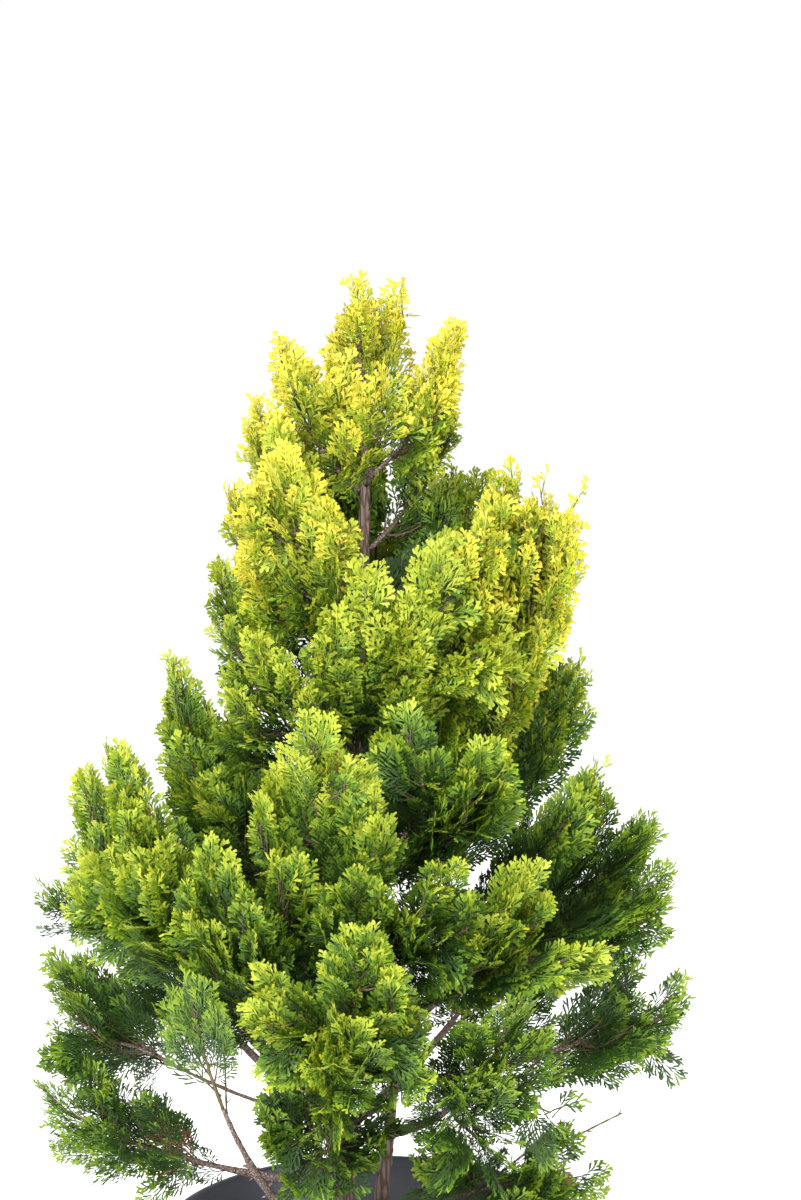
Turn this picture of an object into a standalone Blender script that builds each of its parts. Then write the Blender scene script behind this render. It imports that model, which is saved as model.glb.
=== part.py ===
"""Golden Lawson cypress standing in its round nursery pot.

Metres, +Z up. The origin is the centre of the pot's flat underside. Headings are degrees
from +X towards +Y, so -90 points at the viewer. The trunk runs whole from the soil to the
foot of the leader. Each plume of foliage is one solid: a three-sided stem with toothed
blades fused on, each blade standing for one flat spray of scale leaves.
"""

import math
import random
from typing import NamedTuple

import bmesh
import bpy
import numpy as np
from mathutils import Vector

GAP = 0.0003
UP = Vector((0.0, 0.0, 1.0))

POT_SIDES = 36
POT_HEIGHT = 0.270
POT_RIM_RADIUS = 0.150
POT_MOUTH_RADIUS = 0.1405
POT_BASE_RADIUS = 0.1075
POT_WALL = 0.0025
POT_FLOOR = 0.004
RIM_HEIGHT = 0.007
RIM_LIP = 0.0035
SOIL_BELOW_RIM = 0.035
SOIL_TOP = POT_HEIGHT - SOIL_BELOW_RIM

AXIS_X = -0.020
TRUNK_SIDES = 10
STEM_SIDES = 8
BOUGH_SIDES = 6
TWIG_SIDES = 3
PATH_STEPS = 12
BOUGH_RADIUS = 0.0040
BOUGH_TIP_RADIUS = 0.0024
TWIG_RADIUS = 0.0021
TWIG_TIP_RADIUS = 0.0011

BLADE_THICKNESS = 0.0020
BLADE_WIDTH = 0.34
BLADE_ASCENT = math.radians(36)
BLADE_PITCH = 0.0300
LEAST_BLADES = 2
TURN_OFFSETS = tuple(math.radians(turn) for turn in (0, 35, -35, 70, -70, 110, -110))
NEARLY_UPRIGHT = 0.98
BLADE_ROLL = math.radians(20)
BLADE_REACH = 2.2
NOTCH = 0.40
LONG_BLADE = 0.100
SHORTEST_BLADE = 0.018
STEM_SHARE = 0.80
FORK_SPREAD = 0.9
CELL_MARGIN = 0.0026
SHOOT_MARGIN = -0.004
OVERHANG = 0.010
LIMB_MARGIN = 0.0016
POT_MARGIN = 0.004
SHRINKS = (1.0, 0.92, 0.84, 0.76, 0.68, 0.6, 0.52, 0.44, 0.36)
FLAT_ANGLE = math.radians(0.4)
SEED = 20


class Station(NamedTuple):
    """A height on an upright stem, where the stem's line lies there, and its radius."""

    height: float
    x: float
    y: float
    radius: float


TRUNK = (
    Station(SOIL_TOP + GAP, -0.0190, 0.0, 0.0122),
    Station(0.250, -0.0195, 0.0, 0.0098),
    Station(0.280, -0.0208, 0.0, 0.0087),
    Station(0.372, -0.0260, 0.0, 0.0080),
    Station(0.508, -0.0194, 0.0, 0.0068),
    Station(0.614, -0.0143, 0.0, 0.0060),
    Station(0.718, -0.0072, 0.0, 0.0049),
    Station(0.790, -0.0048, 0.0, 0.0034),
    Station(0.880, -0.0085, 0.0, 0.0017),
)
SECOND_STEM = (
    Station(SOIL_TOP + GAP, 0.0040, -0.014, 0.0068),
    Station(0.255, 0.0045, -0.015, 0.0055),
    Station(0.300, 0.0062, -0.016, 0.0050),
    Station(0.345, 0.0115, -0.014, 0.0042),
    Station(0.385, 0.0150, -0.012, 0.0026),
)
STEMS = {"trunk": TRUNK, "second_stem": SECOND_STEM}


class Fork(NamedTuple):
    """A second shoot of a plume: where it leaves the stem, and where its tip is."""

    share: float
    heading: float
    reach: float
    tip: float


class Limb(NamedTuple):
    """A limb with its plume of foliage.

    root is the height where it leaves its carrier, heading and reach place its tip from the
    plant's upright axis, and tip is the tip's height. bare is the share of the limb with no
    foliage, which is a bough of its own where bough is true. spread is the plume's half
    width.
    """

    name: str
    root: float
    heading: float
    reach: float
    tip: float
    bare: float
    spread: float
    bough: bool = False
    carrier: str = "trunk"
    forks: tuple = ()


LIMBS = (
    Limb("leader", 0.880, 0, 0.010, 0.936, 0.00, 0.024),
    Limb("leader_side", 0.842, 14, 0.044, 0.932, 0.08, 0.026),
    Limb("top_front", 0.795, -64, 0.063, 0.874, 0.08, 0.030),
    Limb("top_left", 0.790, -168, 0.045, 0.892, 0.08, 0.040),
    Limb("top_left_low", 0.738, -155, 0.064, 0.853, 0.11, 0.033),
    Limb("top_right", 0.800, 0, 0.079, 0.904, 0.11, 0.040),
    Limb("top_right_low", 0.750, 24, 0.082, 0.853, 0.11, 0.032),
    Limb("neck_right", 0.700, 6, 0.082, 0.803, 0.11, 0.027),
    Limb("neck_spire", 0.640, 34, 0.123, 0.808, 0.19, 0.025),
    Limb("upper_left", 0.680, -166, 0.080, 0.793, 0.11, 0.040),
    Limb("upper_left_low", 0.625, 176, 0.091, 0.744, 0.14, 0.032),
    Limb("front_shoulder", 0.665, -114, 0.092, 0.824, 0.14, 0.042),
    Limb("front_shoulder_low", 0.590, -120, 0.114, 0.702, 0.14, 0.040),
    Limb("gold_spire", 0.570, -18, 0.123, 0.814, 0.19, 0.040),
    Limb("gold_outer", 0.520, -10, 0.162, 0.797, 0.30, 0.020, True, "trunk",
         (Fork(0.52, -16, 0.140, 0.806),)),
    Limb("gold_inner", 0.605, -54, 0.114, 0.761, 0.17, 0.036, False, "trunk",
         (Fork(0.40, -42, 0.150, 0.702),)),
    Limb("right_flank", 0.480, 6, 0.170, 0.685, 0.26, 0.014),
    Limb("centre_gold", 0.590, -80, 0.105, 0.748, 0.17, 0.034),
    Limb("centre_fan", 0.510, -50, 0.154, 0.640, 0.19, 0.034, False, "trunk",
         (Fork(0.42, -72, 0.126, 0.664),)),
    Limb("left_shoulder", 0.470, -172, 0.121, 0.678, 0.19, 0.042, False, "trunk",
         (Fork(0.42, 152, 0.105, 0.609),)),
    Limb("front_left", 0.425, -96, 0.148, 0.660, 0.32, 0.048, True),
    Limb("front_left_low", 0.378, -120, 0.162, 0.576, 0.36, 0.044, True),
    Limb("front_mid", 0.440, -86, 0.176, 0.568, 0.22, 0.032),
    Limb("front_low", 0.350, -86, 0.204, 0.539, 0.36, 0.044, True, "trunk",
         (Fork(0.50, -104, 0.182, 0.505),)),
    Limb("front_right", 0.455, -66, 0.178, 0.566, 0.21, 0.040),
    Limb("right_arm", 0.445, -12, 0.179, 0.610, 0.25, 0.021),
    Limb("right_gold", 0.405, -46, 0.178, 0.559, 0.23, 0.032, False, "trunk",
         (Fork(0.50, -34, 0.206, 0.504),)),
    Limb("front_right_low", 0.345, -60, 0.216, 0.485, 0.30, 0.050, True, "second_stem",
         (Fork(0.34, -44, 0.200, 0.430),)),
    Limb("right_outer", 0.395, 12, 0.188, 0.571, 0.36, 0.050, True, "trunk",
         (Fork(0.40, -5, 0.226, 0.532), Fork(0.50, 3, 0.218, 0.562))),
    Limb("right_far", 0.376, -4, 0.235, 0.448, 0.32, 0.026, True, "second_stem",
         (Fork(0.42, 4, 0.205, 0.454), Fork(0.50, -8, 0.233, 0.440))),
    Limb("right_low", 0.290, -32, 0.180, 0.375, 0.22, 0.040, False, "second_stem",
         (Fork(0.36, -58, 0.120, 0.376), Fork(0.45, -22, 0.188, 0.333))),
    Limb("left_upper", 0.362, -154, 0.172, 0.628, 0.42, 0.050, True, "trunk",
         (Fork(0.52, -168, 0.182, 0.601), Fork(0.50, 176, 0.193, 0.539))),
    Limb("left_far", 0.438, 170, 0.221, 0.506, 0.42, 0.021, True),
    Limb("left_outer", 0.345, 178, 0.207, 0.459, 0.30, 0.044, False, "trunk",
         (Fork(0.40, 170, 0.195, 0.452), Fork(0.52, -176, 0.207, 0.419))),
    Limb("left_low", 0.300, -170, 0.211, 0.383, 0.25, 0.030, True, "trunk",
         (Fork(0.60, -163, 0.178, 0.402), Fork(0.36, -158, 0.147, 0.385))),
    Limb("left_inner", 0.252, -125, 0.168, 0.485, 0.50, 0.040, True),
    Limb("low_front", 0.300, -101, 0.136, 0.436, 0.30, 0.036, False, "trunk",
         (Fork(0.40, -80, 0.112, 0.374), Fork(0.50, -66, 0.086, 0.390))),
    Limb("back_low_left", 0.345, 138, 0.196, 0.470, 0.42, 0.046, True, "trunk",
         (Fork(0.50, 120, 0.172, 0.425),)),
    Limb("back_low", 0.338, 98, 0.190, 0.530, 0.24, 0.048, False, "trunk",
         (Fork(0.25, 110, 0.160, 0.418), Fork(0.30, 80, 0.165, 0.428))),
    Limb("back_low_right", 0.340, 48, 0.198, 0.480, 0.40, 0.048, True, "trunk",
         (Fork(0.50, 66, 0.178, 0.418),)),
    Limb("back_mid_left", 0.470, 122, 0.160, 0.612, 0.19, 0.048, False, "trunk",
         (Fork(0.28, 100, 0.138, 0.590),)),
    Limb("back_mid_right", 0.500, 62, 0.158, 0.680, 0.19, 0.046, False, "trunk",
         (Fork(0.28, 86, 0.132, 0.640),)),
    Limb("back_high", 0.620, 78, 0.112, 0.792, 0.17, 0.044, False, "trunk",
         (Fork(0.34, 140, 0.070, 0.850), Fork(0.44, 60, 0.052, 0.860))),
)


class Finish(NamedTuple):
    """A plain surface: linear colour, roughness and metallic value."""

    colour: tuple
    roughness: float
    metallic: float = 0.0


POT_PLASTIC = Finish((0.040, 0.047, 0.060), 0.5)
POTTING_MIX = Finish((0.045, 0.028, 0.018), 0.95)
BARK = Finish((0.19, 0.125, 0.095), 0.9)
GOLD_LEAF = Finish((0.52, 0.50, 0.04), 0.6)
BRIGHT_LEAF = Finish((0.25, 0.40, 0.04), 0.6)
DEEP_LEAF = Finish((0.07, 0.18, 0.03), 0.6)
GOLD_HEIGHT = 0.70
DEEP_HEIGHT = 0.50


def clear_scene():
    """Remove whatever the scene holds."""
    for obj in list(bpy.data.objects):
        bpy.data.objects.remove(obj, do_unlink=True)


def material(name, finish):
    """Return a Principled material with the given finish."""
    made = bpy.data.materials.new(name)
    made.use_nodes = True
    shader = made.node_tree.nodes["Principled BSDF"]
    shader.inputs["Base Color"].default_value = (*finish.colour, 1.0)
    shader.inputs["Roughness"].default_value = finish.roughness
    shader.inputs["Metallic"].default_value = finish.metallic
    return made


def make_object(name, bm, finish, smooth=False):
    """Turn a finished bmesh into an object with its own material."""
    bmesh.ops.recalc_face_normals(bm, faces=bm.faces)
    mesh = bpy.data.meshes.new(name)
    bm.to_mesh(mesh)
    bm.free()
    if smooth:
        mesh.shade_smooth()
        mesh.set_sharp_from_angle(angle=math.radians(50))
    obj = bpy.data.objects.new(name, mesh)
    obj.data.materials.append(material(name, finish))
    bpy.context.scene.collection.objects.link(obj)
    return obj


def turned(name, profile, finish):
    """Spin an outline of (radius, height) points, whose ends are closed with flat discs."""
    bm = bmesh.new()
    verts = [bm.verts.new((radius, 0.0, height)) for radius, height in profile]
    edges = [bm.edges.new(pair) for pair in zip(verts, verts[1:])]
    bmesh.ops.spin(bm, geom=verts + edges, cent=(0, 0, 0), axis=UP, angle=math.tau,
                   steps=POT_SIDES, use_merge=True)
    bmesh.ops.remove_doubles(bm, verts=bm.verts, dist=1e-6)
    bmesh.ops.holes_fill(bm, edges=[edge for edge in bm.edges if edge.is_boundary])
    return make_object(name, bm, finish, smooth=True)


def inner_radius(height):
    """Return the pot's inside radius at a height."""
    share = (height - POT_FLOOR) / (POT_HEIGHT - POT_FLOOR)
    narrow = POT_BASE_RADIUS - POT_WALL
    return narrow + share * (POT_MOUTH_RADIUS - POT_WALL - narrow)


def build_pot():
    """Tapered wall with a flat underside and a rolled lip round the mouth."""
    lip_foot = POT_HEIGHT - RIM_HEIGHT
    wall_radius = inner_radius(lip_foot) + POT_WALL
    profile = [(POT_BASE_RADIUS, 0.0), (wall_radius, lip_foot - RIM_LIP),
               (POT_RIM_RADIUS - RIM_LIP / 2, lip_foot)]
    turns = 4
    for step in range(turns + 1):
        angle = math.pi * step / turns
        centre = POT_RIM_RADIUS - RIM_LIP
        profile.append((centre + RIM_LIP * math.cos(angle),
                        POT_HEIGHT - RIM_LIP + RIM_LIP * math.sin(angle)))
    profile += [(inner_radius(lip_foot - RIM_LIP), lip_foot - RIM_LIP),
                (inner_radius(POT_FLOOR), POT_FLOOR)]
    return turned("pot", profile, POT_PLASTIC)


def build_potting_mix():
    """The mix that fills the pot, flat on top."""
    foot = POT_FLOOR + GAP
    profile = [(inner_radius(foot) - GAP, foot), (inner_radius(SOIL_TOP) - GAP, SOIL_TOP)]
    return turned("potting_mix", profile, POTTING_MIX)


def on_stem(stem, height):
    """Return the centre and radius of an upright stem at a height."""
    for low, high in zip(stem, stem[1:]):
        if height <= high.height:
            break
    share = min(1.0, max(0.0, (height - low.height) / (high.height - low.height)))
    mixed = [a + share * (b - a) for a, b in zip(low, high)]
    return Vector((mixed[1], mixed[2], height)), mixed[3]


def tube(bm, points, radii, sides, facing=None):
    """Add a closed tapering tube. Its first ring stands square to facing, where given."""
    side = None
    rings = []
    for index, (point, radius) in enumerate(zip(points, radii)):
        normal = points[min(index + 1, len(points) - 1)] - points[max(index - 1, 0)]
        if index == 0 and facing is not None:
            normal = facing
        normal = normal.normalized()
        if side is None:
            side = normal.cross(UP) if abs(normal.z) < 0.9 else normal.cross(Vector((0, 1, 0)))
        side = (side - normal * side.dot(normal)).normalized()
        front = normal.cross(side)
        ring = []
        for turn in range(sides):
            angle = math.tau * turn / sides
            offset = side * math.cos(angle) + front * math.sin(angle)
            ring.append(bm.verts.new(point + offset * radius))
        rings.append(ring)
    for low, high in zip(rings, rings[1:]):
        for turn in range(sides):
            after = (turn + 1) % sides
            bm.faces.new((low[turn], low[after], high[after], high[turn]))
    bm.faces.new(rings[0][::-1])
    bm.faces.new(rings[-1])


def build_stem(name, stem):
    """An upright stem with a flat foot on the soil."""
    bm = bmesh.new()
    points = [Vector((station.x, station.y, station.height)) for station in stem]
    radii = [station.radius for station in stem]
    sides = TRUNK_SIDES if name == "trunk" else STEM_SIDES
    tube(bm, points, radii, sides, UP)
    return make_object(name, bm, BARK, smooth=True)


def bezier(start, leave, arrive, end, share):
    """Return the point at a share of a cubic curve."""
    rest = 1.0 - share
    return (start * rest**3 + leave * (3 * rest**2 * share)
            + arrive * (3 * rest * share**2) + end * share**3)


def tip_place(heading, reach, height):
    """Return a tip's place from its heading and reach about the plant's axis."""
    angle = math.radians(heading)
    return Vector((AXIS_X + reach * math.cos(angle), reach * math.sin(angle), height))


def limb_path(limb):
    """Return the limb's points, root to tip: out from its carrier, then bending upwards."""
    stem = STEMS[limb.carrier]
    end = tip_place(limb.heading, limb.reach, limb.tip)
    centre, _ = on_stem(stem, limb.root)
    if limb.name == "leader":
        start = centre + UP * GAP
    else:
        out = ((end - centre) * Vector((1, 1, 0))).normalized()
        levels = [on_stem(stem, limb.root + lift) for lift in (-BOUGH_RADIUS, 0, BOUGH_RADIUS)]
        surface = max((middle - centre).dot(out) + radius for middle, radius in levels)
        start = centre + out * (surface + GAP)
    flat = (end - start) * Vector((1, 1, 0))
    rise = end.z - start.z
    leave = start + flat * 0.45 + UP * rise * 0.20
    arrive = end - flat * 0.12 - UP * rise * 0.42
    return [bezier(start, leave, arrive, end, step / PATH_STEPS)
            for step in range(PATH_STEPS + 1)]


def fork_path(fork, limb, path):
    """Return the points of a fork, from its limb's leafy stretch to its own tip."""
    index = max(round(fork.share * PATH_STEPS), bare_steps(limb) + 1)
    start = path[index]
    ahead = (path[index + 1] - start).normalized()
    end = tip_place(fork.heading, fork.reach, fork.tip)
    span = (end - start).length
    leave = start + ahead * span * 0.35
    arrive = end - UP * (end.z - start.z) * 0.35 - (end - start) * 0.1
    steps = PATH_STEPS // 2
    return [bezier(start, leave, arrive, end, step / steps) for step in range(steps + 1)]


def bare_steps(limb):
    """Return how many steps of the path have no foliage."""
    return round(limb.bare * PATH_STEPS)


def taper(count, start, end):
    """Return radii that fall evenly from start to end."""
    return [start + (end - start) * step / (count - 1) for step in range(count)]


def segments(points):
    """Return a path's segments as an array of start and end points."""
    array = np.array([tuple(point) for point in points])
    return np.stack([array[:-1], array[1:]], axis=1)


def distance(spots, lines):
    """Return the distance of each spot from the nearest of the segments."""
    start = lines[:, 0]
    along = lines[:, 1] - start
    offset = spots[:, None, :] - start[None]
    share = (offset * along).sum(-1) / np.maximum((along * along).sum(-1), 1e-12)
    nearest = start + np.clip(share, 0, 1)[..., None] * along
    return np.linalg.norm(spots[:, None, :] - nearest, axis=-1).min(axis=1)


class Space:
    """The room that each plume keeps to, among its neighbours, the limbs and the pot."""

    def __init__(self, paths):
        """Read the shoots and the bare stretches of every limb from its paths."""
        self.shoots = {}
        self.ends = {}
        self.bare = {}
        for limb in LIMBS:
            path, forks = paths[limb.name]
            first = bare_steps(limb)
            for index, points in enumerate([path[first:]] + forks):
                self.shoots[limb.name, index] = segments(points)
                self.ends[limb.name, index] = points[-1]
            if first:
                self.bare[limb.name] = segments(path[:first + 1])
        self.stems = [(segments([Vector((s.x, s.y, s.height)) for s in stem]),
                       max(s.radius for s in stem[2:])) for stem in STEMS.values()]

    def holds(self, shoot, spots):
        """Return whether all the spots lie in the shoot's own space."""
        end = self.ends[shoot]
        reach = np.hypot(spots[:, 0] - AXIS_X, spots[:, 1])
        if (reach > math.hypot(end.x - AXIS_X, end.y) + OVERHANG).any():
            return False
        if (spots[:, 2] > end.z + GAP).any():
            return False
        own = distance(spots, self.shoots[shoot])
        for other, lines in self.shoots.items():
            margin = SHOOT_MARGIN if other[0] == shoot[0] else CELL_MARGIN
            if other != shoot and (own + margin > distance(spots, lines)).any():
                return False
        for other, lines in self.bare.items():
            if (distance(spots, lines) < BOUGH_RADIUS + LIMB_MARGIN).any():
                return False
        for lines, radius in self.stems:
            if (distance(spots, lines) < radius + LIMB_MARGIN).any():
                return False
        radial = np.hypot(spots[:, 0], spots[:, 1])
        over_wall = radial > POT_MOUTH_RADIUS - POT_WALL - POT_MARGIN
        floor = np.where(over_wall, POT_HEIGHT, SOIL_TOP) + POT_MARGIN
        return bool((spots[:, 2] > floor).all())


class Blade(NamedTuple):
    """A flat toothed spray: where it starts, how it lies and how long it is."""

    root: Vector
    along: Vector
    across: Vector
    length: float

    def teeth(self):
        """Return how many teeth each side has."""
        return 3 if self.length > LONG_BLADE else 2

    def at(self, share, width, lift=0.0):
        """Return the point at a share of the length, a share of the width and a lift."""
        half = self.length * BLADE_WIDTH
        normal = self.along.cross(self.across)
        return (self.root + self.along * (share * self.length)
                + self.across * (width * half) + normal * lift)

    def outline(self):
        """Return, for each tooth, its start, its tip and the notch after it, as shares."""
        count = self.teeth()
        step = 0.80 / count
        rows = []
        for tooth in range(count):
            start = 0.06 + tooth * step
            full = 1.0 - 0.62 * (tooth / count) ** 1.4
            rows.append((start, (start + step * 1.4, full), (start + step, full * NOTCH)))
        return rows

    def spots(self):
        """Return the outline's corners as an array, for the test against its space."""
        places = [self.at(1.0, 0.0), self.at(0.5, 0.0, BLADE_THICKNESS)]
        for _, tip, notch in self.outline():
            for side in (-1, 1):
                places.append(self.at(tip[0], side * tip[1]))
                places.append(self.at(notch[0], side * notch[1]))
        return np.array([tuple(place) for place in places])

    def mesh(self, bm):
        """Add the blade: a toothed outline with a flat back and a low ridge in front."""
        rows = self.outline()
        foot = bm.verts.new(self.at(0.0, 0.0))
        tip = bm.verts.new(self.at(1.0, 0.0))
        spine = [bm.verts.new(self.at(row[0], 0.0, BLADE_THICKNESS)) for row in rows] + [tip]
        rim = {}
        for side in (-1, 1):
            rim[side] = [foot]
            for _, point, notch in rows:
                rim[side].append(bm.verts.new(self.at(point[0], side * point[1])))
                rim[side].append(bm.verts.new(self.at(notch[0], side * notch[1])))
            for tooth in range(len(rows)):
                enter, point, notch = rim[side][2 * tooth:2 * tooth + 3]
                bm.faces.new((enter, point, spine[tooth]))
                bm.faces.new((point, notch, spine[tooth]))
                bm.faces.new((notch, spine[tooth + 1], spine[tooth]))
        bm.faces.new(rim[-1] + [tip] + rim[1][:0:-1])


def across_of(ahead):
    """Return a level direction square to the given one."""
    level = ahead.cross(UP) if abs(ahead.z) < NEARLY_UPRIGHT else ahead.cross(Vector((0, 1, 0)))
    return level.normalized()


def side_blade(root, ahead, turn, lean, length):
    """Return a blade that leaves its stem at a lean, turned about it."""
    level = across_of(ahead)
    lateral = level * math.cos(turn) + ahead.cross(level) * math.sin(turn)
    along = ahead * math.cos(lean) + lateral * math.sin(lean)
    flat = lateral * math.cos(lean) - ahead * math.sin(lean)
    across = flat * math.cos(BLADE_ROLL) + along.cross(flat) * math.sin(BLADE_ROLL)
    return Blade(root, along, across, length)


def blades_along(points, spread, rng):
    """Return a shoot's blades in two ranks and one at its tip, each with other turns."""
    ends = segments(points)
    total = float(np.linalg.norm(ends[:, 1] - ends[:, 0], axis=1).sum())
    count = max(LEAST_BLADES, round(total * STEM_SHARE / BLADE_PITCH))
    last = len(points) - 1
    found = []
    for index in range(count):
        share = (index + 0.35) / count * STEM_SHARE
        step = int(share * last)
        root = points[step].lerp(points[step + 1], share * last - step)
        ahead = (points[step + 1] - points[step]).normalized()
        turn = math.radians(rng.uniform(-40, 40)) + (math.pi if index % 2 else 0.0)
        lean = BLADE_ASCENT + math.radians(rng.uniform(-6, 8))
        belly = 0.72 + 0.55 * math.sin(math.pi * min(1.0, share + 0.12))
        length = spread * belly * BLADE_REACH * rng.uniform(0.9, 1.1)
        length = min(length, total * (1.0 - share) / math.cos(lean))
        found.append([side_blade(root, ahead, turn + offset, lean, length)
                      for offset in TURN_OFFSETS])
    start = points[int(STEM_SHARE * last) - 1]
    along = points[-1] - start
    found.append([Blade(start, along.normalized(), across_of(along.normalized()), along.length)])
    return found


def fitted(choices, shoot, space):
    """Return the longest of the blades that keeps to its space, or None."""
    for shrink in SHRINKS:
        for blade in choices:
            trial = blade._replace(length=blade.length * shrink)
            if trial.length >= SHORTEST_BLADE and space.holds(shoot, trial.spots()):
                return trial
    return None


def keep_largest_shell(obj):
    """Drop sealed hollows and loose scraps, so that one outward shell is left."""
    bm = bmesh.new()
    bm.from_mesh(obj.data)
    bmesh.ops.remove_doubles(bm, verts=bm.verts, dist=1e-7)
    bmesh.ops.dissolve_limit(bm, angle_limit=FLAT_ANGLE, verts=bm.verts, edges=bm.edges)
    bmesh.ops.triangulate(bm, faces=bm.faces)
    left = set(bm.verts)
    shells = []
    while left:
        grown = {left.pop()}
        front = list(grown)
        while front:
            vert = front.pop()
            near = {edge.other_vert(vert) for edge in vert.link_edges} - grown
            grown |= near
            front += near
        left -= grown
        shells.append(grown)
    shells.sort(key=len)
    scraps = [vert for shell in shells[:-1] for vert in shell]
    bmesh.ops.delete(bm, geom=scraps, context="VERTS")
    bm.to_mesh(obj.data)
    bm.free()


def fuse(name, finish, pieces):
    """Join the pieces' meshes into one solid object."""
    parts = bpy.data.collections.new(name + "_pieces")
    bpy.context.scene.collection.children.link(parts)
    for index, bm in enumerate(pieces[1:]):
        piece = make_object(f"{name}_piece_{index}", bm, finish)
        bpy.context.scene.collection.objects.unlink(piece)
        parts.objects.link(piece)
    body = make_object(name, pieces[0], finish)
    join = body.modifiers.new("join", "BOOLEAN")
    join.operation = "UNION"
    join.operand_type = "COLLECTION"
    join.collection = parts
    join.solver = "EXACT"
    bpy.context.view_layer.update()
    graph = bpy.context.evaluated_depsgraph_get()
    joined = bpy.data.meshes.new_from_object(body.evaluated_get(graph))
    body.modifiers.clear()
    body.data = joined
    body.data.materials.clear()
    body.data.materials.append(material(name + "_leaf", finish))
    for piece in list(parts.objects):
        bpy.data.objects.remove(piece, do_unlink=True)
    bpy.data.collections.remove(parts)
    keep_largest_shell(body)
    return body


def leaf_finish(limb):
    """Return gold for the high plumes, deep green for the low ones."""
    if limb.tip > GOLD_HEIGHT:
        return GOLD_LEAF
    return BRIGHT_LEAF if limb.tip > DEEP_HEIGHT else DEEP_LEAF


def build_bough(limb, path):
    """The bare stretch of a limb, as a tapering bough."""
    bm = bmesh.new()
    points = path[:bare_steps(limb) + 1]
    tube(bm, points, taper(len(points), BOUGH_RADIUS, BOUGH_TIP_RADIUS), BOUGH_SIDES,
         (points[-1] - points[0]) * Vector((1, 1, 0)))
    return make_object("bough_" + limb.name, bm, BARK, smooth=True)


def build_plume(limb, path, forks, space):
    """The limb's foliage, with the stem that carries it."""
    rng = random.Random(SEED + LIMBS.index(limb))
    first = bare_steps(limb)
    start = first if limb.bough else 0
    stem = [point.copy() for point in path[start:PATH_STEPS - 1]]
    facing = None
    if limb.bough:
        stem[0] += (stem[1] - stem[0]).normalized() * GAP
    elif limb.name != "leader":
        facing = (stem[-1] - stem[0]) * Vector((1, 1, 0))
    kept = stem[::2] + ([stem[-1]] if len(stem) % 2 == 0 else [])
    core = bmesh.new()
    tube(core, kept, taper(len(kept), TWIG_RADIUS, TWIG_TIP_RADIUS), TWIG_SIDES, facing)
    pieces = [core]
    shoots = [blades_along(path[first:], limb.spread, rng)]
    for fork in forks:
        twig = bmesh.new()
        foot = min(kept[1:], key=lambda point: (point - fork[0]).length)
        shoot = [foot] + fork[2:-1:2]
        tube(twig, shoot, taper(len(shoot), TWIG_RADIUS * 0.8, TWIG_TIP_RADIUS), TWIG_SIDES)
        pieces.append(twig)
        shoots.append(blades_along(fork, limb.spread * FORK_SPREAD, rng))
    for index, blades in enumerate(shoots):
        for blade in blades:
            kept_blade = fitted(blade, (limb.name, index), space)
            if kept_blade:
                bm = bmesh.new()
                kept_blade.mesh(bm)
                pieces.append(bm)
    return fuse("foliage_" + limb.name, leaf_finish(limb), pieces)


def main():
    """Build the pot, the stems, the boughs and the plumes."""
    clear_scene()
    build_pot()
    build_potting_mix()
    for name, stem in STEMS.items():
        build_stem(name, stem)
    paths = {}
    for limb in LIMBS:
        path = limb_path(limb)
        paths[limb.name] = (path, [fork_path(fork, limb, path) for fork in limb.forks])
    space = Space(paths)
    for limb in LIMBS:
        path, forks = paths[limb.name]
        if limb.bough:
            build_bough(limb, path)
        build_plume(limb, path, forks, space)


main()
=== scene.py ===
"""A golden Lawson cypress in its nursery pot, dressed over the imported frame.

The plant's axes are the frame's: z is up, the pot stands on z = 0 and the viewer looks along +y.
Everything is in metres.
"""

from __future__ import annotations

import logging
import math
import random
from dataclasses import dataclass, field, replace
from enum import Enum

import bpy
import numpy as np
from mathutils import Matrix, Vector, noise

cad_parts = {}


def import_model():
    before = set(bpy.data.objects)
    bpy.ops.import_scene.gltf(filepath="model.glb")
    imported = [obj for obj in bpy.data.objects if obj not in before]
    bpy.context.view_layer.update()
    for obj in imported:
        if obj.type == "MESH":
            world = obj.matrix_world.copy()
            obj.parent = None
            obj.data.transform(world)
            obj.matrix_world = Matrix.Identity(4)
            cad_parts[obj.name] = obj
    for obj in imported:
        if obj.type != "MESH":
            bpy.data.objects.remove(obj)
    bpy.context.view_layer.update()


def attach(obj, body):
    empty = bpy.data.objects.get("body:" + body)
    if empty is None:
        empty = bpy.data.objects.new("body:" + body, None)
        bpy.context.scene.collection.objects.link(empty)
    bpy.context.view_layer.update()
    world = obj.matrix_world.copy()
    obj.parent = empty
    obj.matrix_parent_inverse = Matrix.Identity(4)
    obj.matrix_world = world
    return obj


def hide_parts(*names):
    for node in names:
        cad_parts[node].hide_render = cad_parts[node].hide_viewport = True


LOG = logging.getLogger("cypress")
BODY = "root"
UP = np.array((0.0, 0.0, 1.0))

POT_HEIGHT = 0.270
POT_RIM_RADIUS = 0.150
POT_MOUTH_RADIUS = 0.1405
POT_BASE_RADIUS = 0.1075
POT_WALL = 0.0025
POT_FLOOR = 0.004
SOIL_TOP = 0.235

AXIS_X = -0.020
GAP = 0.0003
PATH_STEPS = 12
BOUGH_RADIUS = 0.0040
BOUGH_TIP_RADIUS = 0.0024
LIMB_RADIUS = 0.0021
STEM_RADIUS = 0.0017
STEM_TIP_RADIUS = 0.0007
SIDE_RADIUS = 0.0010

OPEN_BELOW = 0.30
DENSE_BELOW = 0.66
LEAVE_OUT, LEAVE_UP, ARRIVE_IN, ARRIVE_DOWN = 0.45, 0.20, 0.12, 0.42
FORK_AHEAD, FORK_DOWN, FORK_BACK = 0.35, 0.35, 0.1

Array = np.ndarray
Pair = tuple[float, float]
Triple = tuple[float, float, float]


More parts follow.
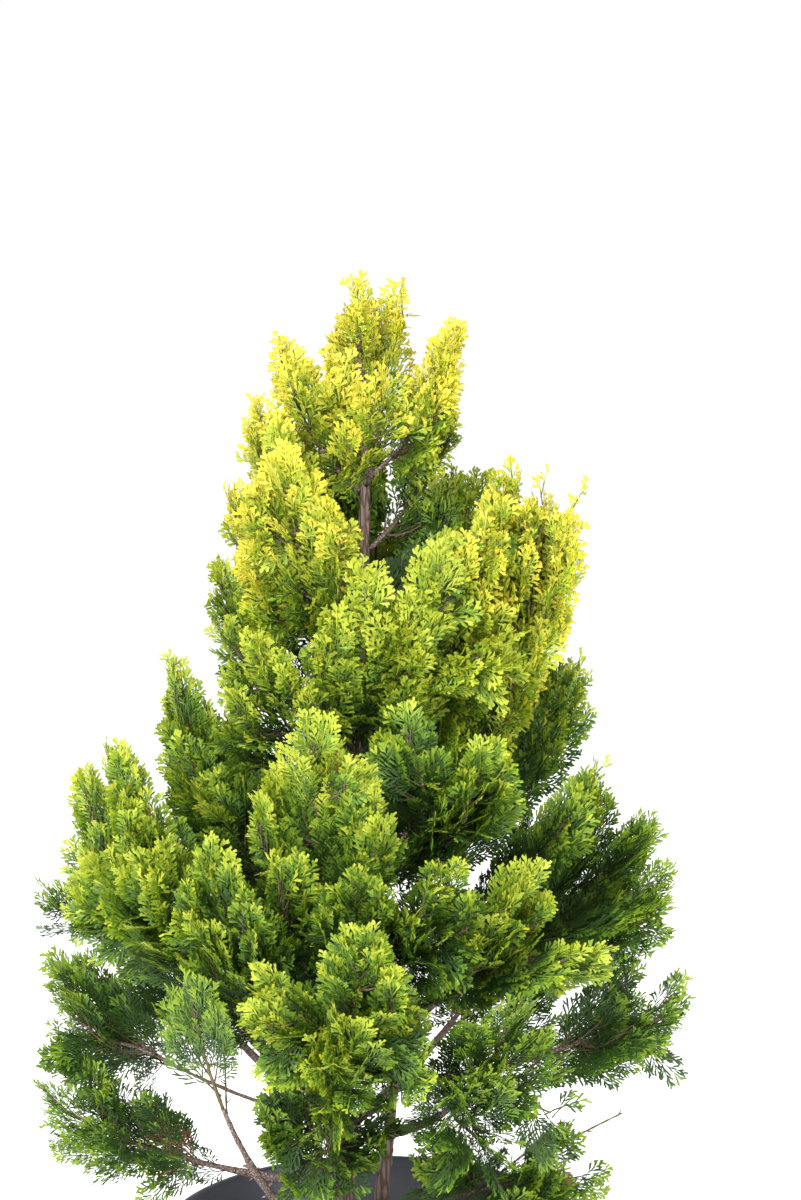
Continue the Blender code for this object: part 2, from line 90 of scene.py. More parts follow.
class Region(Enum):
    """A part of the crown, whose leaves and twigs are joined."""

    TOP = "top"
    LEFT = "left"
    RIGHT = "right"
    FRONT = "front"
    LOW = "low"
    BACK = "back"


class Tint(Enum):
    """A leaf colour, from the shaded inner sprays to the youngest tips."""

    DEEP = 0
    MID = 1
    FRESH = 2
    LIME = 3
    GOLD = 4
    BUD = 5
    DRY = 6


@dataclass(frozen=True)
class SprayRule:
    """How a flat spray branches: side twigs, and scale-leaved fingers that fork on them.

    Pitch, lean, roll and lift have a value for what the stem carries and one for the fingers
    on a twig. Share is the longest twig's part of the stem, finger the least and greatest
    length of a finger, link the length of one joint of a stem, width and fold a leaf's width
    and dip, and fork the chance that a large finger forks. Angles are in degrees.
    """

    pitch: Pair = (0.0040, 0.0018)
    lean: Pair = (41.0, 35.0)
    share: float = 0.47
    finger: Pair = (0.0032, 0.0092)
    curl: float = 17.0
    link: float = 0.0060
    width: float = 0.00145
    fold: float = 0.0003
    roll: Pair = (9.0, 7.0)
    lift: Pair = (5.0, 4.0)
    fork: float = 0.42


@dataclass(frozen=True)
class Habit:
    """How a limb carries its sprays, from open shaded fans to dense golden ones.

    Coarse scales the sprays and their spacing. Each rank is a turn about the stem, a share of
    the full length and a roll out of the plume's plane, and scatter loosens the turns.
    Side_pitch spaces the side shoots, slender is how slowly the plume widens below its tip,
    room is its half width there and headroom is how far leaves may stand above that tip. Rise
    is how far a spray arches, and slope is how much lighter it grows towards its end: the gold
    of its tips, with painted shade at its darker foot.
    """

    rule: SprayRule
    coarse: float
    ranks: tuple[Triple, ...]
    scatter: float
    side_pitch: float
    slender: float
    room: float
    headroom: float
    rise: Pair
    slope: float


RANKS = ((0, 1.0, 0), (180, 1.0, 0), (90, 0.62, 90), (0, 0.86, 0), (180, 0.86, 0), (-90, 0.5, 90))
FLAT_RANKS = ((0, 1.0, 0), (180, 1.0, 0), (0, 0.80, 0), (180, 0.80, 0))

OPEN = Habit(
    rule=SprayRule(pitch=(0.0052, 0.0022), lean=(35.0, 30.0), share=0.54,
                   finger=(0.0038, 0.0100), curl=20.0, link=0.0070, width=0.00160,
                   roll=(6.0, 5.0), lift=(4.0, 3.0)),
    coarse=1.42, ranks=FLAT_RANKS, scatter=15.0, side_pitch=0.050, slender=1.35,
    room=0.010, headroom=0.004, rise=(4.0, 18.0), slope=0.70)
DENSE = Habit(
    rule=SprayRule(pitch=(0.0045, 0.0021), lean=(36.0, 32.0), share=0.54,
                   finger=(0.0036, 0.0090), curl=20.0, link=0.0062, width=0.00188,
                   roll=(9.0, 7.0), lift=(4.0, 4.0), fork=0.45),
    coarse=1.18, ranks=RANKS, scatter=24.0, side_pitch=0.030, slender=1.85,
    room=0.007, headroom=0.002, rise=(4.0, 20.0), slope=0.64)
KNOBBLY = Habit(
    rule=SprayRule(pitch=(0.0047, 0.0025), lean=(40.0, 37.0), share=0.52,
                   finger=(0.0034, 0.0082), curl=20.0, link=0.0056, width=0.00212,
                   fold=0.0005, roll=(13.0, 10.0), lift=(6.0, 5.0), fork=0.75),
    coarse=1.00, ranks=RANKS, scatter=32.0, side_pitch=0.026, slender=1.70,
    room=0.007, headroom=0.003, rise=(4.0, 26.0), slope=0.54)
ANTLER = SprayRule(pitch=(0.0062, 0.0036), lean=(36.0, 36.0), share=0.60, finger=(0.0046, 0.0095),
                   curl=16.0, link=0.0052, width=0.00250, fold=0.0005, roll=(9.0, 8.0),
                   lift=(5.0, 5.0), fork=0.85)


@dataclass(frozen=True)
class Fork:
    """A side stem of a limb. It leaves the limb's path at a share of its length."""

    share: float
    heading: float
    reach: float
    tip: float


@dataclass(frozen=True)
class Limb:
    """One limb of the plant and the plume of foliage at its end.

    Heading is in degrees from +x towards +y, reach is the tip's distance from the upright axis,
    bare is the share without foliage, spread is the plume's half width and gold tells how far
    its leaves have turned from green to yellow.
    """

    name: str
    region: Region
    root: float
    heading: float
    reach: float
    tip: float
    bare: float
    spread: float
    gold: float
    bough: bool = False
    carrier: str = "trunk"
    forks: tuple[Fork, ...] = ()

    @property
    def habit(self) -> Habit:
        """Tell how the limb carries its sprays.

        Returns:
            The open, dense or knobbly habit, by its gold.
        """
        if self.gold < OPEN_BELOW:
            return OPEN
        return DENSE if self.gold < DENSE_BELOW else KNOBBLY


@dataclass(frozen=True)
class BareTwig:
    """A thin leafless twig: its limb, the share where it leaves, its end, sag and radius."""

    limb: str
    share: float
    heading: float
    reach: float
    tip: float
    sag: float
    radius: float
    amber: bool


TOP, LEFT, RIGHT, FRONT, LOW, BACK = Region

# Each row: name, region, root, heading, reach, tip, bare, spread, gold, bough, carrier, forks.
LIMBS = (
    Limb("leader", TOP, 0.880, 0, 0.010, 0.936, 0.00, 0.024, 1.20),
    Limb("leader_side", TOP, 0.842, 14, 0.044, 0.932, 0.08, 0.026, 1.15),
    Limb("top_front", TOP, 0.795, -64, 0.063, 0.874, 0.08, 0.030, 1.00),
    Limb("top_left", TOP, 0.790, -168, 0.045, 0.892, 0.08, 0.040, 1.10),
    Limb("top_left_low", TOP, 0.738, -155, 0.064, 0.853, 0.11, 0.033, 1.00),
    Limb("top_right", TOP, 0.800, 0, 0.079, 0.904, 0.11, 0.040, 1.08),
    Limb("top_right_low", TOP, 0.750, 24, 0.082, 0.853, 0.11, 0.032, 0.95),
    Limb("neck_right", RIGHT, 0.700, 6, 0.082, 0.803, 0.11, 0.027, 0.62),
    Limb("neck_spire", RIGHT, 0.640, 34, 0.123, 0.808, 0.19, 0.025, 0.65),
    Limb("upper_left", LEFT, 0.680, -166, 0.080, 0.793, 0.11, 0.040, 0.90),
    Limb("upper_left_low", LEFT, 0.625, 176, 0.091, 0.744, 0.14, 0.032, 0.65),
    Limb("front_shoulder", FRONT, 0.665, -114, 0.092, 0.824, 0.14, 0.042, 0.90),
    Limb("front_shoulder_low", FRONT, 0.590, -120, 0.114, 0.702, 0.14, 0.040, 0.70),
    Limb("gold_spire", RIGHT, 0.570, -18, 0.123, 0.814, 0.19, 0.040, 0.92),
    Limb("gold_outer", RIGHT, 0.520, -10, 0.162, 0.797, 0.30, 0.020, 0.92, True,
         forks=(Fork(0.52, -16, 0.140, 0.806),)),
    Limb("gold_inner", RIGHT, 0.605, -54, 0.114, 0.761, 0.17, 0.036, 0.75,
         forks=(Fork(0.40, -42, 0.150, 0.702),)),
    Limb("right_flank", RIGHT, 0.480, 6, 0.170, 0.685, 0.26, 0.014, 0.38),
    Limb("centre_gold", FRONT, 0.590, -80, 0.105, 0.748, 0.17, 0.034, 0.75),
    Limb("centre_fan", FRONT, 0.510, -50, 0.154, 0.640, 0.19, 0.034, 0.42,
         forks=(Fork(0.42, -72, 0.126, 0.664),)),
    Limb("left_shoulder", LEFT, 0.470, -172, 0.121, 0.678, 0.19, 0.042, 0.60,
         forks=(Fork(0.42, 152, 0.105, 0.609),)),
    Limb("front_left", FRONT, 0.425, -96, 0.148, 0.660, 0.32, 0.048, 0.62, True),
    Limb("front_left_low", FRONT, 0.378, -120, 0.162, 0.576, 0.36, 0.044, 0.42, True),
    Limb("front_mid", FRONT, 0.440, -86, 0.176, 0.568, 0.22, 0.032, 0.36),
    Limb("front_low", LOW, 0.350, -86, 0.204, 0.539, 0.36, 0.044, 0.46, True,
         forks=(Fork(0.50, -104, 0.182, 0.505),)),
    Limb("front_right", FRONT, 0.455, -66, 0.178, 0.566, 0.21, 0.040, 0.40),
    Limb("right_arm", RIGHT, 0.445, -12, 0.179, 0.610, 0.25, 0.021, 0.45),
    Limb("right_gold", FRONT, 0.405, -46, 0.178, 0.559, 0.23, 0.032, 0.60,
         forks=(Fork(0.50, -34, 0.206, 0.504),)),
    Limb("front_right_low", LOW, 0.345, -60, 0.216, 0.485, 0.30, 0.050, 0.28, True, "second_stem",
         (Fork(0.34, -44, 0.200, 0.430),)),
    Limb("right_outer", RIGHT, 0.395, 12, 0.188, 0.571, 0.36, 0.050, 0.27, True,
         forks=(Fork(0.40, -5, 0.226, 0.532), Fork(0.50, 3, 0.218, 0.562))),
    Limb("right_far", RIGHT, 0.376, -4, 0.235, 0.448, 0.32, 0.026, 0.20, True, "second_stem",
         (Fork(0.42, 4, 0.205, 0.454), Fork(0.50, -8, 0.233, 0.440))),
    Limb("right_low", LOW, 0.290, -32, 0.180, 0.375, 0.22, 0.040, 0.31, False, "second_stem",
         (Fork(0.36, -58, 0.120, 0.376), Fork(0.45, -22, 0.188, 0.333))),
    Limb("left_upper", LEFT, 0.362, -154, 0.172, 0.628, 0.42, 0.050, 0.52, True,
         forks=(Fork(0.52, -168, 0.182, 0.601), Fork(0.50, 176, 0.193, 0.539))),
    Limb("left_far", LEFT, 0.438, 170, 0.221, 0.506, 0.42, 0.021, 0.26, True),
    Limb("left_outer", LEFT, 0.345, 178, 0.207, 0.459, 0.30, 0.044, 0.28,
         forks=(Fork(0.40, 170, 0.195, 0.452), Fork(0.52, -176, 0.207, 0.419))),
    Limb("left_low", LOW, 0.300, -170, 0.211, 0.383, 0.25, 0.030, 0.29, True,
         forks=(Fork(0.60, -163, 0.178, 0.402), Fork(0.36, -158, 0.147, 0.385))),
    Limb("left_inner", LOW, 0.252, -125, 0.168, 0.485, 0.50, 0.040, 0.27, True),
    Limb("low_front", LOW, 0.300, -101, 0.136, 0.436, 0.30, 0.036, 0.31,
         forks=(Fork(0.40, -80, 0.112, 0.374), Fork(0.50, -66, 0.086, 0.390))),
    Limb("back_low_left", BACK, 0.345, 138, 0.196, 0.470, 0.42, 0.046, 0.29, True,
         forks=(Fork(0.50, 120, 0.172, 0.425),)),
    Limb("back_low", BACK, 0.338, 98, 0.190, 0.530, 0.24, 0.048, 0.32,
         forks=(Fork(0.25, 110, 0.160, 0.418), Fork(0.30, 80, 0.165, 0.428))),
    Limb("back_low_right", BACK, 0.340, 48, 0.198, 0.480, 0.40, 0.048, 0.29, True,
         forks=(Fork(0.50, 66, 0.178, 0.418),)),
    Limb("back_mid_left", BACK, 0.470, 122, 0.160, 0.612, 0.19, 0.048, 0.46,
         forks=(Fork(0.28, 100, 0.138, 0.590),)),
    Limb("back_mid_right", BACK, 0.500, 62, 0.158, 0.680, 0.19, 0.046, 0.50,
         forks=(Fork(0.28, 86, 0.132, 0.640),)),
    Limb("back_high", BACK, 0.620, 78, 0.112, 0.792, 0.17, 0.044, 0.70,
         forks=(Fork(0.34, 140, 0.070, 0.850), Fork(0.44, 60, 0.052, 0.860))),
)

# Each row: height, x, y, radius.
STEMS = {
    "trunk": ((0.2353, -0.0190, 0.000, 0.0122), (0.250, -0.0195, 0.000, 0.0098),
              (0.280, -0.0208, 0.000, 0.0087), (0.372, -0.0260, 0.000, 0.0080),
              (0.508, -0.0194, 0.000, 0.0068), (0.614, -0.0143, 0.000, 0.0060),
              (0.718, -0.0072, 0.000, 0.0049), (0.790, -0.0048, 0.000, 0.0034),
              (0.880, -0.0085, 0.000, 0.0017)),
    "second_stem": ((0.2353, 0.0040, -0.014, 0.0068), (0.255, 0.0045, -0.015, 0.0055),
                    (0.300, 0.0062, -0.016, 0.0050), (0.345, 0.0115, -0.014, 0.0042),
                    (0.385, 0.0150, -0.012, 0.0026)),
}

BARE_TWIGS = (
    BareTwig("left_upper", 0.34, -150, 0.110, 0.463, 0.006, 0.0008, True),
    BareTwig("left_low", 0.42, -162, 0.122, 0.309, 0.002, 0.0006, False),
    BareTwig("right_low", 0.50, -20, 0.201, 0.375, -0.004, 0.0010, False),
    BareTwig("left_inner", 0.64, -132, 0.116, 0.429, 0.003, 0.0008, False),
)

# How much of a plume's foot carries no sprays.
CLEAR = {"left_inner": 0.40, "left_outer": 0.20, "left_far": 0.12}


def unit(vector: Array) -> Array:
    """Return the vector at length one."""
    return vector / max(float(np.linalg.norm(vector)), 1e-12)


def on_stem(stem: str, height: float) -> tuple[Array, float]:
    """Find an upright stem's centre and radius at a height.

    Args:
        stem: The stem's name.
        height: Height above the pot's underside.

    Returns:
        The centre and the radius.
    """
    rows = np.array(STEMS[stem])
    x, y, radius = (float(np.interp(height, rows[:, 0], rows[:, k])) for k in (1, 2, 3))
    return np.array((x, y, height)), radius


def swung(first: Array, second: Array, angle: float) -> Array:
    """Return the direction at an angle from one direction towards another across it."""
    return first * math.cos(angle) + second * math.sin(angle)


def turned(ahead: Array, side: Array, angle: float) -> tuple[Array, Array]:
    """Turn a direction towards its side vector, and the side vector with it."""
    return swung(ahead, side, angle), side * math.cos(angle) - ahead * math.sin(angle)


def lateral_frame(ahead: Array) -> tuple[Array, Array]:
    """Return two directions across a given one, the first of them level."""
    level = unit(np.cross(ahead, UP if abs(ahead[2]) < 0.98 else np.array((0, 1.0, 0))))
    return level, np.cross(ahead, level)


def cubic(points: tuple[Array, ...], steps: int) -> Array:
    """Sample a cubic curve.

    Args:
        points: Its start, two handles and end.
        steps: How many equal steps of the parameter it gets.

    Returns:
        An array of steps + 1 places.
    """
    start, leave, arrive, end = points
    share = np.linspace(0.0, 1.0, steps + 1)[:, None]
    rest = 1.0 - share
    return (start * rest**3 + leave * 3 * rest**2 * share
            + arrive * 3 * rest * share**2 + end * share**3)


def tip_place(heading: float, reach: float, height: float) -> Array:
    """Return a tip's place from its heading and reach about the plant's axis."""
    angle = math.radians(heading)
    return np.array((AXIS_X + reach * math.cos(angle), reach * math.sin(angle), height))


def bare_steps(limb: Limb) -> int:
    """Return how many steps of the limb's path have no foliage."""
    return round(limb.bare * PATH_STEPS)


def limb_path(limb: Limb) -> Array:
    """Trace a limb from its carrier's surface to its tip, out first and then upwards.

    Args:
        limb: The limb.

    Returns:
        The places of its path, root first.
    """
    end = tip_place(limb.heading, limb.reach, limb.tip)
    centre, _ = on_stem(limb.carrier, limb.root)
    level = np.array((1.0, 1.0, 0.0))
    if limb.name == "leader":
        start = centre + UP * GAP
    else:
        out = unit((end - centre) * level)
        lifts = (-BOUGH_RADIUS, 0.0, BOUGH_RADIUS)
        rings = [on_stem(limb.carrier, limb.root + lift) for lift in lifts]
        surface = max(float((middle - centre) @ out) + radius for middle, radius in rings)
        start = centre + out * (surface + GAP)
    flat = (end - start) * level
    rise = end[2] - start[2]
    leave = start + flat * LEAVE_OUT + UP * rise * LEAVE_UP
    arrive = end - flat * ARRIVE_IN - UP * rise * ARRIVE_DOWN
    return cubic((start, leave, arrive, end), PATH_STEPS)


def fork_path(fork: Fork, limb: Limb, path: Array) -> Array:
    """Trace a fork from its limb's leafy stretch to its own tip.

    Args:
        fork: The fork.
        limb: The limb that carries it.
        path: The limb's path.

    Returns:
        The places of the fork's path.
    """
    index = max(round(fork.share * PATH_STEPS), bare_steps(limb) + 1)
    start = path[index]
    ahead = unit(path[index + 1] - start)
    end = tip_place(fork.heading, fork.reach, fork.tip)
    span = float(np.linalg.norm(end - start))
    leave = start + ahead * span * FORK_AHEAD
    arrive = end - UP * (end[2] - start[2]) * FORK_DOWN - (end - start) * FORK_BACK
    return cubic((start, leave, arrive, end), PATH_STEPS // 2)


def walked_along(points: Array) -> Array:
    """Return how far along a path each of its points lies."""
    return np.concatenate([[0.0], np.cumsum(np.linalg.norm(np.diff(points, axis=0), axis=1))])


def along_path(points: Array, spacing: float) -> Array:
    """Place points at an even spacing along a path.

    Args:
        points: The path.
        spacing: The wanted distance between neighbours.

    Returns:
        The places, the path's two ends included.
    """
    walked = walked_along(points)
    count = max(3, int(walked[-1] / spacing) + 1)
    wanted = np.linspace(0.0, walked[-1], count)
    return np.stack([np.interp(wanted, walked, points[:, k]) for k in range(3)], axis=1)


def path_length(points: Array) -> float:
    """Return a path's length."""
    return float(np.linalg.norm(np.diff(points, axis=0), axis=1).sum())


@dataclass(frozen=True)
class Shoot:
    """A leafy stretch of a limb, of its fork or of a side shoot, which carries sprays.

    Plume is the number of the plume that it belongs to, plane a direction across it in that
    plume's plane, and clear the share at its foot that carries no sprays.
    """

    limb: Limb
    points: Array
    spread: float
    plume: int
    plane: Array
    clear: float = 0.0

    def frame(self, ahead: Array) -> tuple[Array, Array]:
        """Find the direction across another in the plume's plane, and the one out of it.

        Args:
            ahead: The direction.

        Returns:
            The two directions, of length one.
        """
        level = self.plane - ahead * float(self.plane @ ahead)
        if np.linalg.norm(level) < 0.2:
            return lateral_frame(ahead)
        return unit(level), np.cross(ahead, unit(level))

    @property
    def tip(self) -> Array:
        """Return the shoot's end."""
        return self.points[-1]

    @property
    def length(self) -> float:
        """Return the shoot's length."""
        return path_length(self.points)

    def at(self, share: float) -> tuple[Array, Array]:
        """Find the place and the direction at a share of the shoot's steps.

        Args:
            share: The share, from 0 at its foot to 1 at its tip.

        Returns:
            The place and the direction.
        """
        last = len(self.points) - 1
        step = min(int(share * last), last - 1)
        part = share * last - step
        place = self.points[step] * (1 - part) + self.points[step + 1] * part
        return place, unit(self.points[step + 1] - self.points[step])


class Space:
    """The room that each plume keeps to, among its neighbours, the limbs and the pot."""

    OVERHANG = 0.001
    LEAST_REACH = 0.024
    NEIGHBOUR = 0.010
    CLEARANCE = 0.0030

    def __init__(self, plumes: list[Shoot], bare: list[Array]) -> None:
        """Read the plumes and the bare stretches.

        Args:
            plumes: The leafy stretch of each limb and fork.
            bare: The paths of the bare stretches and of the stems.
        """
        self.plumes = plumes
        pieces = [np.stack([s.points[:-1], s.points[1:]], axis=1) for s in plumes]
        self.lines = np.concatenate(pieces)
        self.owner = np.repeat(np.arange(len(plumes)), [len(p) for p in pieces])
        self.bare = np.concatenate([np.stack([p[:-1], p[1:]], axis=1) for p in bare])

    @staticmethod
    def distances(spots: Array, lines: Array) -> Array:
        """Measure each spot's distance from each line.

        Args:
            spots: The places.
            lines: The lines' two ends.

        Returns:
            A table with a row for each spot.
        """
        start = lines[:, 0]
        along = lines[:, 1] - start
        offset = spots[:, None, :] - start[None]
        share = (offset * along).sum(-1) / np.maximum((along * along).sum(-1), 1e-12)
        nearest = start + np.clip(share, 0, 1)[..., None] * along
        return np.linalg.norm(spots[:, None, :] - nearest, axis=-1)

    def holds(self, plume: int, spots: Array, loose: float = 0.0) -> bool:
        """Tell whether all the spots lie in a plume's own room.

        Args:
            plume: The plume's number.
            spots: The places to test.
            loose: How much wider than usual the room is taken.

        Returns:
            True where each spot is within reach, clear of the pot and off the neighbours.
        """
        end = self.plumes[plume].tip
        habit = self.plumes[plume].limb.habit
        reach = np.hypot(spots[:, 0] - AXIS_X, spots[:, 1])
        furthest = max(math.hypot(end[0] - AXIS_X, end[1]), self.LEAST_REACH)
        if (reach > furthest + self.OVERHANG + loose).any():
            return False
        below = end[2] + habit.headroom + loose - spots[:, 2]
        if (below < 0).any():
            return False
        radial = np.hypot(spots[:, 0], spots[:, 1])
        wall = radial > POT_MOUTH_RADIUS - POT_WALL - 2 * self.CLEARANCE
        floor = np.where(wall, POT_HEIGHT, SOIL_TOP) + self.CLEARANCE
        if (spots[:, 2] < floor).any():
            return False
        table = self.distances(spots, self.lines)
        own = table[:, self.owner == plume].min(axis=1)
        if (own > np.minimum(table.min(axis=1) + self.NEIGHBOUR,
                             habit.room + below / habit.slender)).any():
            return False
        return bool((self.distances(spots, self.bare) > self.CLEARANCE).all())


@dataclass
class SprayPattern:
    """A spray grown at the origin along +y, as four corners for each finger and link."""

    length: float
    seed: int
    rule: SprayRule

    STEM_SWAY = 6.0
    LAP = 1.2
    LINK_WIDTH, LAST_WIDTH = 0.8, 1.1
    FIRST_PITCH, LAST_SHARE = 1.4, 0.97
    LEAN_FOOT, LEAN_LOSS, LEAN_PLAY = 1.05, 0.30, 5.0
    BELLY_FOOT, BELLY_RISE, TAPER, LEAST_TWIG = 0.46, 0.30, 0.75, 0.0035
    FINGER_LOSS, FINGER_FOOT = 0.50, 0.9
    LENGTH_PLAY, PITCH_PLAY = (0.82, 1.14), (0.85, 1.15)
    OUTER_FOOT, OUTER_OWN, OUTER_FINGER, OUTER_FORK = 0.42, 0.50, 0.08, 0.04
    FINGER_WIDTH, OUTER_WIDTH = 0.92, 0.28
    LEAST_FORKED, FORK_PLACE, FORK_LEAN = 0.0052, (0.40, 0.60), (26.0, 38.0)
    FORK_LENGTH, FORK_WIDTH = 0.45, 0.85
    BROADEST, SHOULDER, NIB = 0.48, 0.86, 0.3

    def __post_init__(self) -> None:
        """Grow the spray."""
        self.rng = random.Random(self.seed)
        self.rows: list[Array] = []
        self.twig = 0
        self.grow(np.zeros(3), np.array((0, 1.0, 0)), np.array((1.0, 0, 0)), self.length, None)
        self.dress()

    def outer_share(self, base: float | None, share: float) -> float:
        """Return how far out in the whole spray a share of its stem or of a twig lies."""
        return share if base is None else self.OUTER_FOOT * base + self.OUTER_OWN * share

    def grow(self, place: Array, ahead: Array, side: Array, length: float,
             base: float | None, hand: int = 0) -> None:
        """Grow the spray's own stem or a side twig, with all that it carries.

        Args:
            place: Where it starts.
            ahead: Its direction.
            side: The direction across it, in its own plane.
            length: Its length.
            base: The share of the stem at which a side twig leaves it, or None for the stem.
            hand: -1 or 1 for a side twig to the left or right.
        """
        rule, rng = self.rule, self.rng
        order = 0 if base is None else 1
        steps = max(2, round(length / rule.link))
        sway = -hand * rule.curl if order else rng.uniform(-self.STEM_SWAY, self.STEM_SWAY)
        curl = math.radians(sway) / steps
        frames = []
        for step in range(steps):
            frames.append((place, ahead, side))
            last = step == steps - 1
            self.add(place, ahead, side, length / steps * self.LAP,
                     self.LAST_WIDTH if last else self.LINK_WIDTH,
                     self.outer_share(base, (step + 1) / steps), last)
            place = place + ahead * (length / steps)
            ahead, side = turned(ahead, side, curl)
        hand = rng.choice((-1, 1))
        walked = rule.pitch[order] * (1.0 if order else self.FIRST_PITCH)
        while walked < length * self.LAST_SHARE:
            share = walked / length
            step = min(int(share * steps), steps - 1)
            foot, ahead, side = frames[step]
            foot = foot + ahead * (share * steps - step) * (length / steps)
            ahead, side = self.leaving(ahead, side, order, hand, share)
            wanted = self.usual_length(order, length, walked) * rng.uniform(*self.LENGTH_PLAY)
            if order == 0:
                self.twig += 1
            if order == 0 and wanted > rule.finger[1]:
                self.grow(foot, ahead, side, wanted, share, hand)
            else:
                outer = self.outer_share(base, share) + self.OUTER_FINGER * order
                self.finger(foot, ahead, side, max(wanted, rule.finger[0]), outer)
            walked += rule.pitch[order] * rng.uniform(*self.PITCH_PLAY)
            hand = -hand

    def leaving(self, ahead: Array, side: Array, order: int, hand: int,
                share: float) -> tuple[Array, Array]:
        """Turn a stem's directions into those of a twig or finger that leaves it.

        Args:
            ahead: The stem's direction.
            side: The direction across it.
            order: 0 on the spray's stem and 1 on a side twig.
            hand: -1 or 1 for the left or right.
            share: How far along the stem it leaves.

        Returns:
            Its own direction and the one across it.
        """
        rule, rng = self.rule, self.rng
        lean = (rule.lean[order] * (self.LEAN_FOOT - self.LEAN_LOSS * share)
                + rng.uniform(-self.LEAN_PLAY, self.LEAN_PLAY))
        ahead, side = turned(ahead, side, hand * math.radians(lean))
        normal = np.cross(side, ahead)
        side = swung(side, normal, math.radians(rng.gauss(0, rule.roll[order])))
        lift = math.radians(rng.gauss(0, rule.lift[order]))
        return unit(ahead + normal * math.tan(lift)), side

    def usual_length(self, order: int, length: float, walked: float) -> float:
        """Return the usual length of what leaves a stem at a distance along it.

        Args:
            order: 0 on the spray's stem and 1 on a side twig.
            length: The stem's length.
            walked: The distance.

        Returns:
            The length, before its own chance part.
        """
        rule = self.rule
        if order:
            return min(rule.finger[1],
                       (length - walked) * self.FINGER_LOSS + rule.finger[0] * self.FINGER_FOOT)
        share = walked / length
        belly = min(1.0, self.BELLY_FOOT + share / self.BELLY_RISE)
        return length * rule.share * belly * (1 - share) ** self.TAPER + self.LEAST_TWIG

    def finger(self, place: Array, ahead: Array, side: Array, size: float, outer: float) -> None:
        """Add a finger and, on the larger ones, a fork near its end.

        Args:
            place: Where it starts.
            ahead: Its direction.
            side: The direction across it.
            size: Its length.
            outer: How far out in the whole spray it lies.
        """
        self.add(place, ahead, side, size, self.FINGER_WIDTH + self.OUTER_WIDTH * outer, outer,
                 True)
        if size > self.LEAST_FORKED and self.rng.random() < self.rule.fork:
            hand = self.rng.choice((-1, 1))
            foot = place + ahead * size * self.rng.uniform(*self.FORK_PLACE)
            lean = math.radians(self.rng.uniform(*self.FORK_LEAN))
            ahead, side = turned(ahead, side, hand * lean)
            self.add(foot, ahead, side, size * self.FORK_LENGTH, self.FORK_WIDTH,
                     outer + self.OUTER_FORK, True)

    def add(self, place: Array, ahead: Array, side: Array, size: float,
            wide: float, outer: float, tip: bool) -> None:
        """Note one finger or link: where it starts, how it lies and how large it is."""
        rest = (size, wide * self.rule.width, outer, float(tip), float(self.twig))
        self.rows.append(np.concatenate([place, ahead, side, rest]))

    def dress(self) -> None:
        """Turn the notes into arrays: corners, place in the spray, tips and twig numbers."""
        rows = np.array(self.rows)
        draw = np.random.default_rng(self.seed)
        root, ahead, side = rows[:, :3], rows[:, 3:6], rows[:, 6:9]
        size, width = rows[:, 9:10], rows[:, 10:11]
        normal = np.cross(side, ahead)
        half = width / 2 * np.where(draw.uniform(0, 1, (len(rows), 1)) < 0.5, 1, -1)
        down = normal * self.rule.fold
        self.corners = np.stack([root,
                                 root + ahead * size * self.BROADEST - side * half - down,
                                 root + ahead * size - side * half * self.NIB,
                                 root + ahead * size * self.SHOULDER + side * half - down],
                                axis=1)
        self.outer = rows[:, 11]
        self.tips = rows[:, 12] > 0
        self.twigs = rows[:, 13].astype(int)


@dataclass(frozen=True)
class Spray:
    """A spray on its shoot: where it starts, how it lies, bends and how gold it is."""

    root: Array
    along: Array
    across: Array
    length: float
    sway: float
    rise: float
    score: float
    antler: bool = False

    SPOTS = np.array(((0.0, 1.0, 0.0), (0.20, 0.62, 0.0), (-0.20, 0.62, 0.0),
                      (0.26, 0.34, 0.0), (-0.26, 0.34, 0.0)))

    def bent(self, places: Array, length: float) -> Array:
        """Carry places from a pattern's own frame to the plant.

        Args:
            places: An array of places whose last axis is across, along and out of the plane.
            length: The pattern's length.

        Returns:
            The places on the plant.
        """
        scale = self.length / length
        x, y, z = (places[..., k] * scale for k in range(3))
        for turn, which in ((self.sway, 0), (self.rise, 1)):
            angle = turn * y / self.length
            radius = self.length / turn if abs(turn) > 1e-4 else 1e4
            middle = radius * (1 - np.cos(angle))
            far = radius * np.sin(angle)
            if which == 0:
                x, y = middle + x * np.cos(angle), far - x * np.sin(angle)
            else:
                z, y = middle + z * np.cos(angle), far - z * np.sin(angle)
        normal = np.cross(self.across, self.along)
        return (self.root + x[..., None] * self.across + y[..., None] * self.along
                + z[..., None] * normal)

    def spots(self) -> Array:
        """Return places on the outline, for the test against the spray's room."""
        return self.bent(self.SPOTS * self.length, self.length)


